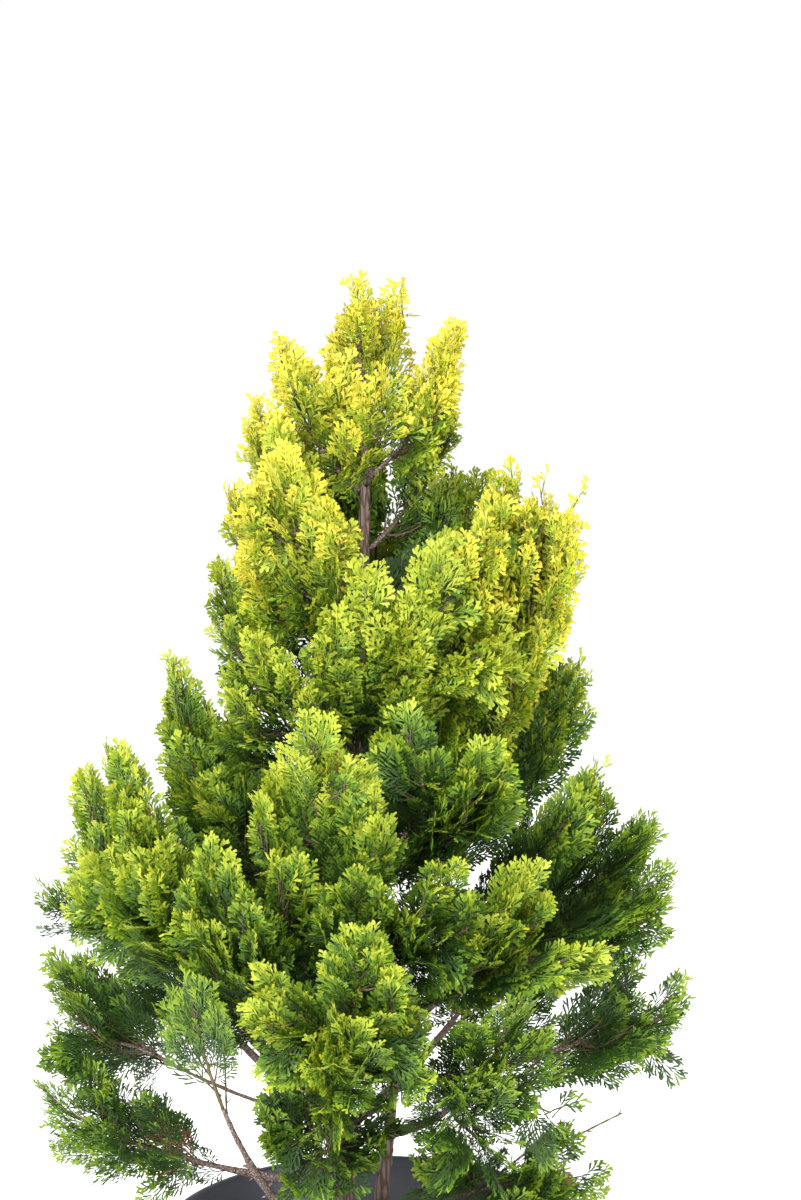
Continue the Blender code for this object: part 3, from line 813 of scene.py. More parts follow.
@dataclass
class Foliage:
    """The shoots and sprays of the whole crown, by the source's rule and carried on finer.

    Pitch spaces the sprays of a shoot and ascent is their angle from it. Twists turn the planes
    of the front and the side plumes, with a chance part. Dressed bounds the trunk's leafy top.
    Shade says how deep inside the outline a spray starts to lose gold, how fast and how much:
    painted shade, besides the greener older foliage inside the crown. Gilding is the limb's
    share of the gold, what comes off and what a spray further out gains.
    """

    pitch: float = 0.0044
    ascent: float = 30.0
    sideways: float = 0.70
    twists: Triple = (0.0, 55.0, 15.0)
    stem_share: float = 0.95
    reach: float = 2.2
    main_share: float = 0.62
    side_share: float = 0.50
    shortest: float = 0.014
    seed: int = 20
    dressed: Pair = (0.770, 0.915)
    band: float = 0.045
    sector: float = 0.88
    # Painted shade: the depth inside the outline where a spray's gold starts to drop, the rate and
    # the most.
    shade: Triple = (0.012, 2.6, 0.30)
    ragged: Pair = (-0.005, 0.005)
    lengths: tuple[float, ...] = (0.014, 0.019, 0.026, 0.034, 0.044, 0.056, 0.070, 0.088)
    variants: int = 5
    turns: tuple[float, ...] = (0, 35, -35, 70, -70, 110, -110)
    shrinks: tuple[float, ...] = (1.0, 0.85, 0.7, 0.55, 0.42, 0.3)
    last_side: float = 0.74
    side_start: Pair = (0.1, 0.6)
    side_climb: float = 0.8
    side_width: Pair = (1.15, 0.45)
    side_play: Pair = (0.75, 1.1)
    side_height: Pair = (0.50, 0.80)
    side_scatter: float = 1.4
    side_handles: Triple = (0.75, 0.22, 0.35)
    side_spread: Triple = (0.015, 0.6, 0.4)
    leaning: Pair = (1.22, 0.55)
    lean_play: Pair = (-8.0, 9.0)
    belly: Triple = (0.72, 0.55, 0.12)
    length_play: Pair = (0.74, 1.08)
    over_tip: Pair = (0.85, 0.012)
    roll_play: float = 0.6
    gilding: Triple = (0.62, 0.07, 0.32)
    score_play: float = 0.055
    sway: Pair = (8.0, 26.0)
    end_length: Pair = (0.55, 0.062)
    end_turn: float = 0.4
    crest: int = 4
    crest_room: float = 0.006
    crest_climb: float = 0.72
    crest_share: Pair = (0.66, 0.88)
    crest_length: Pair = (0.36, 0.042)
    crest_play: Pair = (0.75, 1.1)
    crest_turn: float = 25.0
    crest_lean: Pair = (20.0, 38.0)
    crest_gilding: float = 0.04

    def __post_init__(self) -> None:
        """Trace every limb, grow its side shoots and grow the patterns."""
        self.paths: dict[str, tuple[Array, list[Array]]] = {}
        plumes: list[Shoot] = []
        bare = [np.array(rows)[:, [1, 2, 0]] for rows in STEMS.values()]
        for limb in LIMBS:
            path = limb_path(limb)
            forks = [fork_path(fork, limb, path) for fork in limb.forks]
            self.paths[limb.name] = (path, forks)
            first = bare_steps(limb)
            plane = self.plane_of(limb, path, len(plumes))
            clear = CLEAR.get(limb.name, 0.0)
            plumes.append(Shoot(limb, path[first:], limb.spread, len(plumes), plane, clear))
            for fork in forks:
                plane = self.plane_of(limb, fork, len(plumes))
                plumes.append(Shoot(limb, fork, limb.spread * 0.9, len(plumes), plane))
            if first:
                bare.append(path[:first + 1])
        top = np.array([on_stem("trunk", z)[0] for z in np.linspace(*self.dressed, 12)])
        plane = np.array((1.0, 0.0, 0.0))
        plumes.append(Shoot(LIMBS[0], top, 0.034, len(plumes), plane))
        self.space = Space(plumes, bare)
        self.sides = [side for plume in plumes for side in self.side_shoots(plume)]
        mains = [replace(p, spread=p.spread * self.main_share) for p in plumes]
        self.shoots = mains + self.sides
        self.patterns = {rule: [[SprayPattern(length, 100 * row + k, rule)
                                 for k in range(self.variants)]
                                for row, length in enumerate(self.lengths)]
                         for rule in (OPEN.rule, DENSE.rule, KNOBBLY.rule, ANTLER)}
        self.outline = np.concatenate([p.points for p in plumes])
        self.reaches = np.hypot(self.outline[:, 0] - AXIS_X, self.outline[:, 1])

    def plane_of(self, limb: Limb, path: Array, number: int) -> Array:
        """Return a direction across a plume in its plane.

        The plane lies across the limb's way out from the trunk, and on the limbs that leave to
        the left or right it is turned about the limb.

        Args:
            limb: The limb.
            path: The plume's path.
            number: The plume's number.

        Returns:
            The direction, of length one.
        """
        front, side, chance = self.twists
        sideways = abs(math.cos(math.radians(limb.heading))) > self.sideways
        twist = random.Random(number).gauss(side if sideways else front, chance)
        ahead = unit(path[-1] - path[len(path) // 3])
        level, out = lateral_frame(ahead)
        return swung(level, out, math.radians(twist))

    def side_shoots(self, plume: Shoot) -> list[Shoot]:
        """Grow a plume's side shoots, which leave its stem to alternate sides and then rise.

        Args:
            plume: The leafy stretch that carries them.

        Returns:
            The side shoots that keep to the plume's room.
        """
        rng = random.Random(self.seed * 31 + plume.plume)
        total = plume.length
        count = round(total / plume.limb.habit.side_pitch)
        found = []
        for number in range(count):
            share = (number + rng.uniform(*self.side_start)) / count * self.last_side
            if share < plume.clear:
                continue
            root, ahead = plume.at(share)
            level, front = plume.frame(ahead)
            climb = unit(ahead + UP * self.side_climb)
            foot, loss = self.side_width
            wide = plume.spread * (foot - loss * share) * rng.uniform(*self.side_play)
            tall = total * (1 - share) * rng.uniform(*self.side_height)
            loose = self.side_scatter * plume.limb.habit.scatter
            turn = 180 * (number % 2) + rng.uniform(-loose, loose)
            out, up, down = self.side_handles
            for shrink, offset in ((s, o) for s in self.shrinks[:-1] for o in self.turns):
                angle = math.radians(turn + offset)
                lateral = swung(level, front, angle)
                end = root + (lateral * wide + climb * tall) * shrink
                leave = root + (lateral * wide * out + climb * tall * up) * shrink
                arrive = end - climb * tall * down * shrink
                path = cubic((root, leave, arrive, end), PATH_STEPS // 2)
                if self.space.holds(plume.plume, path[2:]):
                    least, part, gain = self.side_spread
                    spread = max(least, plume.spread * self.side_share * (part + gain * shrink))
                    found.append(Shoot(plume.limb, path, spread, plume.plume, plume.plane))
                    break
        return found

    def depth(self, place: Array) -> float:
        """Measure how far a place lies inside the crown's outline at its height and side.

        Args:
            place: The place.

        Returns:
            The distance, or 0 outside it.
        """
        out = place[:2] - (AXIS_X, 0.0)
        reach = float(np.hypot(*out))
        near = np.abs(self.outline[:, 2] - place[2]) < self.band
        flat = self.outline[:, :2] - (AXIS_X, 0.0)
        facing = flat @ out > self.sector * self.reaches * reach
        found = self.reaches[near & facing]
        return max(0.0, float(found.max()) - reach) if len(found) else 0.0

    def sprays_of(self, index: int) -> list[Spray]:
        """Deal one shoot's sprays, in its ranks and one at its tip.

        Args:
            index: The shoot's number.

        Returns:
            The sprays that keep to the plume's room.
        """
        shoot = self.shoots[index]
        rng = random.Random(self.seed + index)
        total = shoot.length
        habit = shoot.limb.habit
        coarse = habit.coarse
        count = max(4, round(total * self.stem_share / (self.pitch * coarse)))
        found: list[Spray] = []
        for number in range(count):
            share = (number + 0.35) / count * self.stem_share
            if share < shoot.clear:
                continue
            rank, facing, roll = habit.ranks[number % len(habit.ranks)]
            turn = rank + rng.uniform(-habit.scatter, habit.scatter)
            foot, loss = self.leaning
            lean = self.ascent * (foot - loss * share) + rng.uniform(*self.lean_play)
            least, gain, early = self.belly
            belly = least + gain * math.sin(math.pi * min(1.0, share + early))
            length = shoot.spread * belly * self.reach * coarse * facing
            length *= rng.uniform(*self.length_play)
            part, over = self.over_tip
            limit = total * (1.0 - share) * part / math.cos(math.radians(lean)) + over
            pose = (turn, lean, roll + rng.gauss(0, self.roll_play * habit.scatter))
            spray = self.fitted(shoot, share, pose, min(length, limit), rng)
            if spray is not None:
                found.append(spray)
        found.append(self.end_spray(shoot, total, rng))
        if habit is KNOBBLY:
            found += self.crest_sprays(shoot, total, rng)
        return found

    def crest_sprays(self, shoot: Shoot, total: float, rng: random.Random) -> list[Spray]:
        """Deal the open sprays that fan out round a golden shoot's tip.

        Args:
            shoot: The shoot that carries them.
            total: Its length.
            rng: The shoot's own draw.

        Returns:
            The sprays, which stand a little out of the plume's room.
        """
        found = []
        for number in range(self.crest):
            share = rng.uniform(*self.crest_share)
            root, ahead = shoot.at(share)
            level, front = shoot.frame(ahead)
            angle = math.radians(360 / self.crest * number
                                 + rng.uniform(-self.crest_turn, self.crest_turn))
            lateral = swung(level, front, angle)
            along, flat = turned(ahead, lateral, math.radians(rng.uniform(*self.crest_lean)))
            across = flat if number % 2 == 0 else np.cross(along, flat)
            if along[2] < self.crest_climb:
                continue
            part, most = self.crest_length
            length = min(part * total, most) * rng.uniform(*self.crest_play)
            sway = -math.radians(rng.uniform(*self.sway))
            draw = rng.gauss(self.crest_gilding, self.score_play)
            for shrink in self.shrinks:
                end = root + along * length * shrink
                trial = Spray(root, along, across, length * shrink, sway, 0.0,
                              self.score(shoot, share, end, draw), True)
                if self.space.holds(shoot.plume, trial.spots(), self.crest_room):
                    found.append(trial)
                    break
        return found

    def score(self, shoot: Shoot, share: float, tip: Array, draw: float) -> float:
        """Return how gold a spray is, less the painted shade deep inside the crown.

        Args:
            shoot: The shoot that carries it.
            share: Its place along the shoot.
            tip: Where it ends.
            draw: Its own chance share.

        Returns:
            The score, which falls towards the crown's inside, where the foliage is older and
            greener and where shade is painted in.
        """
        start, slope, most = self.shade
        # Deep inside the crown's outline the score drops: painted shade, besides the greener older
        # foliage there.
        shaded = min(most, slope * max(0.0, self.depth(tip) - start))
        limb, drop, outer = self.gilding
        return shoot.limb.gold * limb - drop + outer * share + draw - shaded

    def fitted(self, shoot: Shoot, share: float, pose: Triple,
               length: float, rng: random.Random) -> Spray | None:
        """Find the longest spray at a place that keeps to its room.

        Args:
            shoot: The shoot that carries it.
            share: Its place along the shoot.
            pose: Its turn about the shoot, its angle from it and its roll, in degrees.
            length: Its wanted length.
            rng: The shoot's own draw.

        Returns:
            The spray, or None where no size fits.
        """
        root, ahead = shoot.at(share)
        level, front = shoot.frame(ahead)
        turn, (slant, roll) = pose[0], np.radians(pose[1:])
        sway = math.radians(rng.uniform(*self.sway))
        rise = math.radians(rng.uniform(*shoot.limb.habit.rise))
        draw = rng.gauss(0, self.score_play)
        loose = rng.uniform(*self.ragged)
        for shrink in self.shrinks:
            if length * shrink < self.shortest:
                break
            for offset in self.turns:
                angle = math.radians(turn + offset)
                lateral = swung(level, front, angle)
                along, flat = turned(ahead, lateral, slant)
                across = swung(flat, np.cross(along, flat), roll)
                up = math.copysign(rise, float(np.cross(across, along)[2]))
                end = root + along * length * shrink
                score = self.score(shoot, share, end, draw)
                trial = Spray(root, along, across, length * shrink, -sway, up, score)
                if self.space.holds(shoot.plume, trial.spots(), loose):
                    return trial
        return None

    def end_spray(self, shoot: Shoot, total: float, rng: random.Random) -> Spray:
        """Deal the spray that ends at the shoot's own tip.

        Args:
            shoot: The shoot.
            total: Its length.
            rng: The shoot's own draw.

        Returns:
            The spray.
        """
        length = min(self.end_length[0] * total, self.end_length[1])
        walked = walked_along(shoot.points)
        start = np.array([np.interp(total - length, walked, shoot.points[:, k])
                          for k in range(3)])
        along = unit(shoot.tip - start)
        level, front = shoot.frame(along)
        across = swung(level, front, rng.uniform(-self.end_turn, self.end_turn))
        score = self.score(shoot, 1.0, shoot.tip, rng.gauss(0, self.score_play))
        return Spray(start, along, across, float(np.linalg.norm(shoot.tip - start)), 0.0, 0.0,
                     score, shoot.limb.habit is KNOBBLY)

    def pattern_for(self, shoot: Shoot, spray: Spray, draw: int) -> SprayPattern:
        """Pick the pattern of the shoot's habit that is nearest to a spray's length.

        Args:
            shoot: The shoot that carries it.
            spray: The spray.
            draw: A number that picks the variant.

        Returns:
            The pattern.
        """
        row = int(np.argmin([abs(math.log(length / spray.length)) for length in self.lengths]))
        rule = ANTLER if spray.antler else shoot.limb.habit.rule
        return self.patterns[rule][row][draw % self.variants]


# The scores at which the leaves turn to the next colour.
TINT_STEPS = (0.30, 0.46, 0.62, 0.80, 0.99)
FACES = np.array(((0, 2, 1), (0, 3, 2)))


def joined(name: str, corners: Array, faces: Array, smooth: bool) -> bpy.types.Object:
    """Make one mesh object from arrays.

    Args:
        name: The piece's name.
        corners: Its vertices.
        faces: Its triangles, as rows of three vertex numbers.
        smooth: Whether its faces shade smoothly.

    Returns:
        The object, linked to the scene.
    """
    mesh = bpy.data.meshes.new(name)
    mesh.vertices.add(len(corners))
    mesh.vertices.foreach_set("co", np.ascontiguousarray(corners, np.float32).ravel())
    mesh.loops.add(len(faces) * 3)
    mesh.loops.foreach_set("vertex_index", np.ascontiguousarray(faces, np.int32).ravel())
    mesh.polygons.add(len(faces))
    mesh.polygons.foreach_set("loop_start", np.arange(0, len(faces) * 3, 3, dtype=np.int32))
    mesh.update(calc_edges=True)
    mesh.polygons.foreach_set("use_smooth", np.full(len(faces), smooth))
    piece = bpy.data.objects.new(name, mesh)
    bpy.context.scene.collection.objects.link(piece)
    return piece


def tube_arrays(points: Array, radii: Array, sides: int) -> tuple[Array, Array]:
    """Sweep a closed tapering tube along a path.

    Args:
        points: The path.
        radii: Its radius at each point.
        sides: How many sides it has.

    Returns:
        Its vertices and triangles.
    """
    count = len(points)
    ahead = np.gradient(points, axis=0)
    ahead /= np.linalg.norm(ahead, axis=1)[:, None]
    side = np.cross(ahead[0], (0, 0, 1.0) if abs(ahead[0][2]) < 0.9 else (0, 1.0, 0))
    turns = np.arange(sides) * math.tau / sides
    rings = []
    for index in range(count):
        side = unit(side - ahead[index] * float(side @ ahead[index]))
        front = np.cross(ahead[index], side)
        ring = np.outer(np.cos(turns), side) + np.outer(np.sin(turns), front)
        rings.append(points[index] + ring * radii[index])
    corners = np.concatenate(rings + [points[:1], points[-1:]])
    low = np.arange((count - 1) * sides)
    after = low + 1 - np.where(low % sides == sides - 1, sides, 0)
    walls = np.concatenate([np.stack([low, after, after + sides], axis=1),
                            np.stack([low, after + sides, low + sides], axis=1)])
    ring = np.arange(sides)
    nexts = (ring + 1) % sides
    top = (count - 1) * sides
    foot = np.stack([np.full(sides, count * sides), nexts, ring], axis=1)
    head = np.stack([np.full(sides, count * sides + 1), top + ring, top + nexts], axis=1)
    return corners, np.concatenate([walls, foot, head])


@dataclass
class Bin:
    """Meshes that are gathered to be joined."""

    corners: list[Array] = field(default_factory=list)
    faces: list[Array] = field(default_factory=list)
    size: int = 0

    def add(self, corners: Array, faces: Array) -> None:
        """Take in one small mesh.

        Args:
            corners: Its vertices.
            faces: Its triangles, by its own vertex numbers.
        """
        self.corners.append(corners)
        self.faces.append(faces + self.size)
        self.size += len(corners)

    def finish(self, name: str, material: bpy.types.Material, slot: str, smooth: bool = False,
               nodes: tuple[str, ...] = ()) -> None:
        """Join all of it as one piece, dressed and reported.

        Args:
            name: The piece's name.
            material: Its finish.
            slot: Not used.
            smooth: Whether its faces shade smoothly.
            nodes: The frame's nodes that it replaces.
        """
        piece = joined(name, np.concatenate(self.corners), np.concatenate(self.faces), smooth)
        finish_piece(piece, name, material, nodes)


@dataclass(frozen=True)
class LeafFinish:
    """A leaf's plain colour, with a darker share in patches and the light that passes through."""

    name: str
    slot: str
    colour: Triple
    shade: Triple
    glow: Triple


@dataclass(frozen=True)
class BarkFinish:
    """A bark's plates: how fine and drawn out they are, their colour and that of the clefts."""

    name: str
    scale: float
    plate: Triple
    cleft: Triple
    depth: float
    stretch: Triple = (1.0, 1.0, 1.0)


@dataclass(frozen=True)
class CrumbFinish:
    """A crumbly material in two tones."""

    name: str
    light: Triple
    dark: Triple


TRUNK_BARK = BarkFinish("trunk_bark", 260.0, (0.245, 0.165, 0.128), (0.085, 0.052, 0.042),
                        0.0011, (1.0, 1.0, 0.22))
BOUGH_BARK = BarkFinish("bough_bark", 420.0, (0.235, 0.160, 0.132), (0.095, 0.060, 0.052), 0.0006)
TWIG_BARK = BarkFinish("twig_bark", 700.0, (0.150, 0.115, 0.045), (0.085, 0.060, 0.028), 0.0003)
AMBER_BARK = BarkFinish("bare_twig_bark", 700.0, (0.420, 0.190, 0.070), (0.230, 0.095, 0.040),
                        0.0003)
MIX_FINISH = CrumbFinish("potting_mix_surface", (0.075, 0.046, 0.030), (0.022, 0.014, 0.010))
CHIP_FINISH = CrumbFinish("bark_chip", (0.190, 0.105, 0.060), (0.070, 0.040, 0.026))
GRIT_FINISH = CrumbFinish("perlite_grit", (0.72, 0.70, 0.66), (0.52, 0.50, 0.46))

LEAF_FINISHES = {
    Tint.DEEP: LeafFinish("leaf_deep_green", "leaf_deep", (0.034, 0.077, 0.008),
                          (0.018, 0.048, 0.009), (0.05, 0.14, 0.010)),
    Tint.MID: LeafFinish("leaf_mid_green", "leaf_deep", (0.101, 0.186, 0.012),
                         (0.062, 0.130, 0.014), (0.16, 0.29, 0.014)),
    Tint.FRESH: LeafFinish("leaf_fresh_green", "leaf_bright", (0.202, 0.289, 0.020),
                           (0.138, 0.218, 0.014), (0.30, 0.42, 0.005)),
    Tint.LIME: LeafFinish("leaf_lime", "leaf_bright", (0.365, 0.410, 0.034),
                          (0.275, 0.330, 0.022), (0.50, 0.55, 0.008)),
    Tint.GOLD: LeafFinish("leaf_gold", "leaf_gold", (0.520, 0.458, 0.044),
                          (0.450, 0.425, 0.034), (0.70, 0.62, 0.010)),
    Tint.BUD: LeafFinish("leaf_tip_amber", "leaf_gold", (0.640, 0.450, 0.040),
                         (0.560, 0.410, 0.030), (0.75, 0.52, 0.030)),
    Tint.DRY: LeafFinish("leaf_dry", "bark", (0.230, 0.095, 0.040),
                         (0.150, 0.065, 0.030), (0.20, 0.08, 0.02)),
}


def wire(tree: bpy.types.NodeTree, *rows: tuple) -> None:
    """Link sockets: each row is a node and its output, then a node and its input."""
    for source, out, target, into in rows:
        tree.links.new(source.outputs[out], target.inputs[into])


class Effects:
    """Shader node groups that several finishes share, each built once."""

    def __init__(self) -> None:
        """Build the groups."""
        self.mottle = self.build_mottle()
        self.fissures = self.build_fissures()
        self.grain = self.build_grain()

    @staticmethod
    def group(name: str, inputs: tuple[tuple[str, str, object], ...],
              outputs: tuple[tuple[str, str], ...]) -> tuple:
        """Open a group with named sockets.

        Args:
            name: The group's name.
            inputs: Rows of socket name, socket type and default.
            outputs: Rows of socket name and socket type.

        Returns:
            The tree, its input node and its output node.
        """
        tree = bpy.data.node_groups.new(name, "ShaderNodeTree")
        for label, kind, value in inputs:
            socket = tree.interface.new_socket(label, in_out="INPUT", socket_type=kind)
            if value is not None:
                socket.default_value = value
        for label, kind in outputs:
            tree.interface.new_socket(label, in_out="OUTPUT", socket_type=kind)
        return tree, tree.nodes.new("NodeGroupInput"), tree.nodes.new("NodeGroupOutput")

    def build_mottle(self) -> bpy.types.NodeTree:
        """Build a group that mixes two colours in soft patches.

        Returns:
            The group.
        """
        tree, source, target = self.group(
            "soft_mottle",
            (("Vector", "NodeSocketVector", None), ("Scale", "NodeSocketFloat", 60.0),
             ("Light", "NodeSocketColor", (1, 1, 1, 1)), ("Dark", "NodeSocketColor", (0, 0, 0, 1))),
            (("Colour", "NodeSocketColor"), ("Mask", "NodeSocketFloat")))
        cloud = tree.nodes.new("ShaderNodeTexNoise")
        cloud.inputs["Detail"].default_value = 3.0
        spread = tree.nodes.new("ShaderNodeMapRange")
        spread.inputs["From Min"].default_value = 0.32
        spread.inputs["From Max"].default_value = 0.68
        blend = tree.nodes.new("ShaderNodeMix")
        blend.data_type = "RGBA"
        wire(tree, (source, "Vector", cloud, "Vector"), (source, "Scale", cloud, "Scale"),
             (cloud, "Fac", spread, "Value"), (spread, "Result", blend, 0),
             (source, "Dark", blend, 6), (source, "Light", blend, 7),
             (blend, 2, target, "Colour"), (spread, "Result", target, "Mask"))
        return tree

    def build_fissures(self) -> bpy.types.NodeTree:
        """Build a group for bark: plates between clefts, as a mask, and their height.

        Returns:
            The group.
        """
        tree, source, target = self.group(
            "bark_fissures",
            (("Vector", "NodeSocketVector", None), ("Scale", "NodeSocketFloat", 300.0),
             ("Stretch", "NodeSocketVector", (1.0, 1.0, 0.3))),
            (("Plate", "NodeSocketFloat"), ("Height", "NodeSocketFloat")))
        long = tree.nodes.new("ShaderNodeVectorMath")
        long.operation = "MULTIPLY"
        warp = tree.nodes.new("ShaderNodeTexNoise")
        warp.inputs["Detail"].default_value = 4.0
        cells = tree.nodes.new("ShaderNodeTexVoronoi")
        cells.feature = "DISTANCE_TO_EDGE"
        plate = tree.nodes.new("ShaderNodeMapRange")
        plate.inputs["From Max"].default_value = 0.22
        height = tree.nodes.new("ShaderNodeMath")
        height.operation = "MULTIPLY_ADD"
        height.inputs[1].default_value = 0.6
        wire(tree, (source, "Vector", long, 0), (source, "Stretch", long, 1),
             (long, 0, cells, "Vector"), (source, "Scale", cells, "Scale"),
             (long, 0, warp, "Vector"), (source, "Scale", warp, "Scale"),
             (cells, "Distance", plate, "Value"), (plate, "Result", target, "Plate"),
             (warp, "Fac", height, 0), (plate, "Result", height, 2),
             (height, 0, target, "Height"))
        return tree

    def build_grain(self) -> bpy.types.NodeTree:
        """Build a group for a fine grain: a value round its mean and a height.

        Returns:
            The group.
        """
        tree, source, target = self.group(
            "fine_grain",
            (("Vector", "NodeSocketVector", None), ("Scale", "NodeSocketFloat", 900.0),
             ("Mean", "NodeSocketFloat", 0.5), ("Swing", "NodeSocketFloat", 0.1)),
            (("Value", "NodeSocketFloat"), ("Height", "NodeSocketFloat")))
        cloud = tree.nodes.new("ShaderNodeTexNoise")
        cloud.inputs["Detail"].default_value = 5.0
        centred = tree.nodes.new("ShaderNodeMath")
        centred.operation = "SUBTRACT"
        centred.inputs[1].default_value = 0.5
        value = tree.nodes.new("ShaderNodeMath")
        value.operation = "MULTIPLY_ADD"
        wire(tree, (source, "Vector", cloud, "Vector"), (source, "Scale", cloud, "Scale"),
             (cloud, "Fac", centred, 0), (centred, 0, value, 0), (source, "Swing", value, 1),
             (source, "Mean", value, 2), (value, 0, target, "Value"),
             (cloud, "Fac", target, "Height"))
        return tree


class Finishes:
    """Every finish of the plant and its pot, as materials made once."""

    LIGHT_THROUGH = 0.25
    WEATHERED = 0.45

    def __init__(self) -> None:
        """Build the shared effects and the materials."""
        self.effects = Effects()
        self.leaves = {tint: self.leaf(finish) for tint, finish in LEAF_FINISHES.items()}
        self.trunk = self.bark(TRUNK_BARK)
        self.bough = self.bark(BOUGH_BARK)
        self.twig = self.bark(TWIG_BARK)
        self.amber_twig = self.bark(AMBER_BARK)
        self.plastic = self.pot_plastic()
        self.mix = self.soil(MIX_FINISH)
        self.chip = self.soil(CHIP_FINISH)
        self.grit = self.soil(GRIT_FINISH)

    @staticmethod
    def blank(name: str, roughness: float, gloss: float) -> tuple:
        """Open a material and set its constant values.

        Args:
            name: The material's name.
            roughness: Its roughness.
            gloss: Its specular level.

        Returns:
            The material, its tree, its shader and its Object coordinates.
        """
        made = bpy.data.materials.new(name)
        made.use_nodes = True
        tree = made.node_tree
        shader = tree.nodes["Principled BSDF"]
        shader.inputs["Roughness"].default_value = roughness
        shader.inputs["Specular IOR Level"].default_value = gloss
        place = tree.nodes.new("ShaderNodeTexCoord").outputs["Object"]
        return made, tree, shader, place

    @staticmethod
    def use(tree: bpy.types.NodeTree, group: bpy.types.NodeTree, place: bpy.types.NodeSocket,
            **values: object) -> bpy.types.Node:
        """Add a shared effect to a material, with its own values.

        Args:
            tree: The material's tree.
            group: The effect.
            place: The coordinates.
            values: Its inputs, by name.

        Returns:
            The effect's node.
        """
        node = tree.nodes.new("ShaderNodeGroup")
        node.node_tree = group
        tree.links.new(place, node.inputs["Vector"])
        for label, value in values.items():
            node.inputs[label].default_value = value
        return node

    @staticmethod
    def bump(tree: bpy.types.NodeTree, height: bpy.types.NodeSocket, shader: bpy.types.Node,
             depth: float) -> None:
        """Raise the surface by a height, to a depth in metres.

        Args:
            tree: The material's tree.
            height: The height's socket.
            shader: The shader.
            depth: The depth.
        """
        node = tree.nodes.new("ShaderNodeBump")
        node.inputs["Distance"].default_value = depth
        tree.links.new(height, node.inputs["Height"])
        tree.links.new(node.outputs["Normal"], shader.inputs["Normal"])

    def leaf(self, finish: LeafFinish) -> bpy.types.Material:
        """Make a leaf material: a satin face that lets some light through.

        Args:
            finish: Its colours.

        Returns:
            The material.
        """
        made, tree, shader, place = self.blank(finish.name, roughness=0.52, gloss=0.35)
        mottle = self.use(tree, self.effects.mottle, place, Scale=70.0,
                          Light=(*finish.colour, 1.0), Dark=(*finish.shade, 1.0))
        glow = tree.nodes.new("ShaderNodeBsdfTranslucent")
        glow.inputs["Color"].default_value = (*finish.glow, 1.0)
        both = tree.nodes.new("ShaderNodeMixShader")
        both.inputs["Fac"].default_value = self.LIGHT_THROUGH
        wire(tree, (mottle, "Colour", shader, "Base Color"), (shader, "BSDF", both, 1),
             (glow, "BSDF", both, 2), (both, "Shader", tree.nodes["Material Output"], "Surface"))
        return made

    def bark(self, finish: BarkFinish) -> bpy.types.Material:
        """Make a bark material with plates, clefts and weathered patches.

        Args:
            finish: Its colours and plates.

        Returns:
            The material.
        """
        made, tree, shader, place = self.blank(finish.name, roughness=0.88, gloss=0.25)
        fissures = self.use(tree, self.effects.fissures, place, Scale=finish.scale,
                            Stretch=finish.stretch)
        grey = tuple((1 - self.WEATHERED) * tone + self.WEATHERED * sum(finish.plate) / 3
                     for tone in finish.plate)
        mottle = self.use(tree, self.effects.mottle, place, Scale=55.0,
                          Light=(*finish.plate, 1.0), Dark=(*grey, 1.0))
        blend = tree.nodes.new("ShaderNodeMix")
        blend.data_type = "RGBA"
        blend.inputs[6].default_value = (*finish.cleft, 1.0)
        wire(tree, (fissures, "Plate", blend, 0), (mottle, "Colour", blend, 7),
             (blend, 2, shader, "Base Color"))
        self.bump(tree, fissures.outputs["Height"], shader, finish.depth)
        return made

    def pot_plastic(self) -> bpy.types.Material:
        """Make the pot's dark slate plastic, with a fine grain and dusty patches.

        Returns:
            The material.
        """
        made, tree, shader, place = self.blank("pot_slate_plastic", roughness=0.42, gloss=0.5)
        mottle = self.use(tree, self.effects.mottle, place, Scale=9.0,
                          Light=(0.022, 0.027, 0.037, 1.0), Dark=(0.014, 0.017, 0.024, 1.0))
        grain = self.use(tree, self.effects.grain, place, Scale=420.0, Mean=0.42, Swing=0.5)
        wire(tree, (mottle, "Colour", shader, "Base Color"), (grain, "Value", shader, "Roughness"))
        self.bump(tree, grain.outputs["Height"], shader, 0.00012)
        return made

    def soil(self, finish: CrumbFinish) -> bpy.types.Material:
        """Make a crumbly material in two tones.

        Args:
            finish: Its tones.

        Returns:
            The material.
        """
        made, tree, shader, place = self.blank(finish.name, roughness=0.95, gloss=0.2)
        mottle = self.use(tree, self.effects.mottle, place, Scale=230.0,
                          Light=(*finish.light, 1.0), Dark=(*finish.dark, 1.0))
        grain = self.use(tree, self.effects.grain, place, Scale=700.0)
        wire(tree, (mottle, "Colour", shader, "Base Color"))
        self.bump(tree, grain.outputs["Height"], shader, 0.0008)
        return made


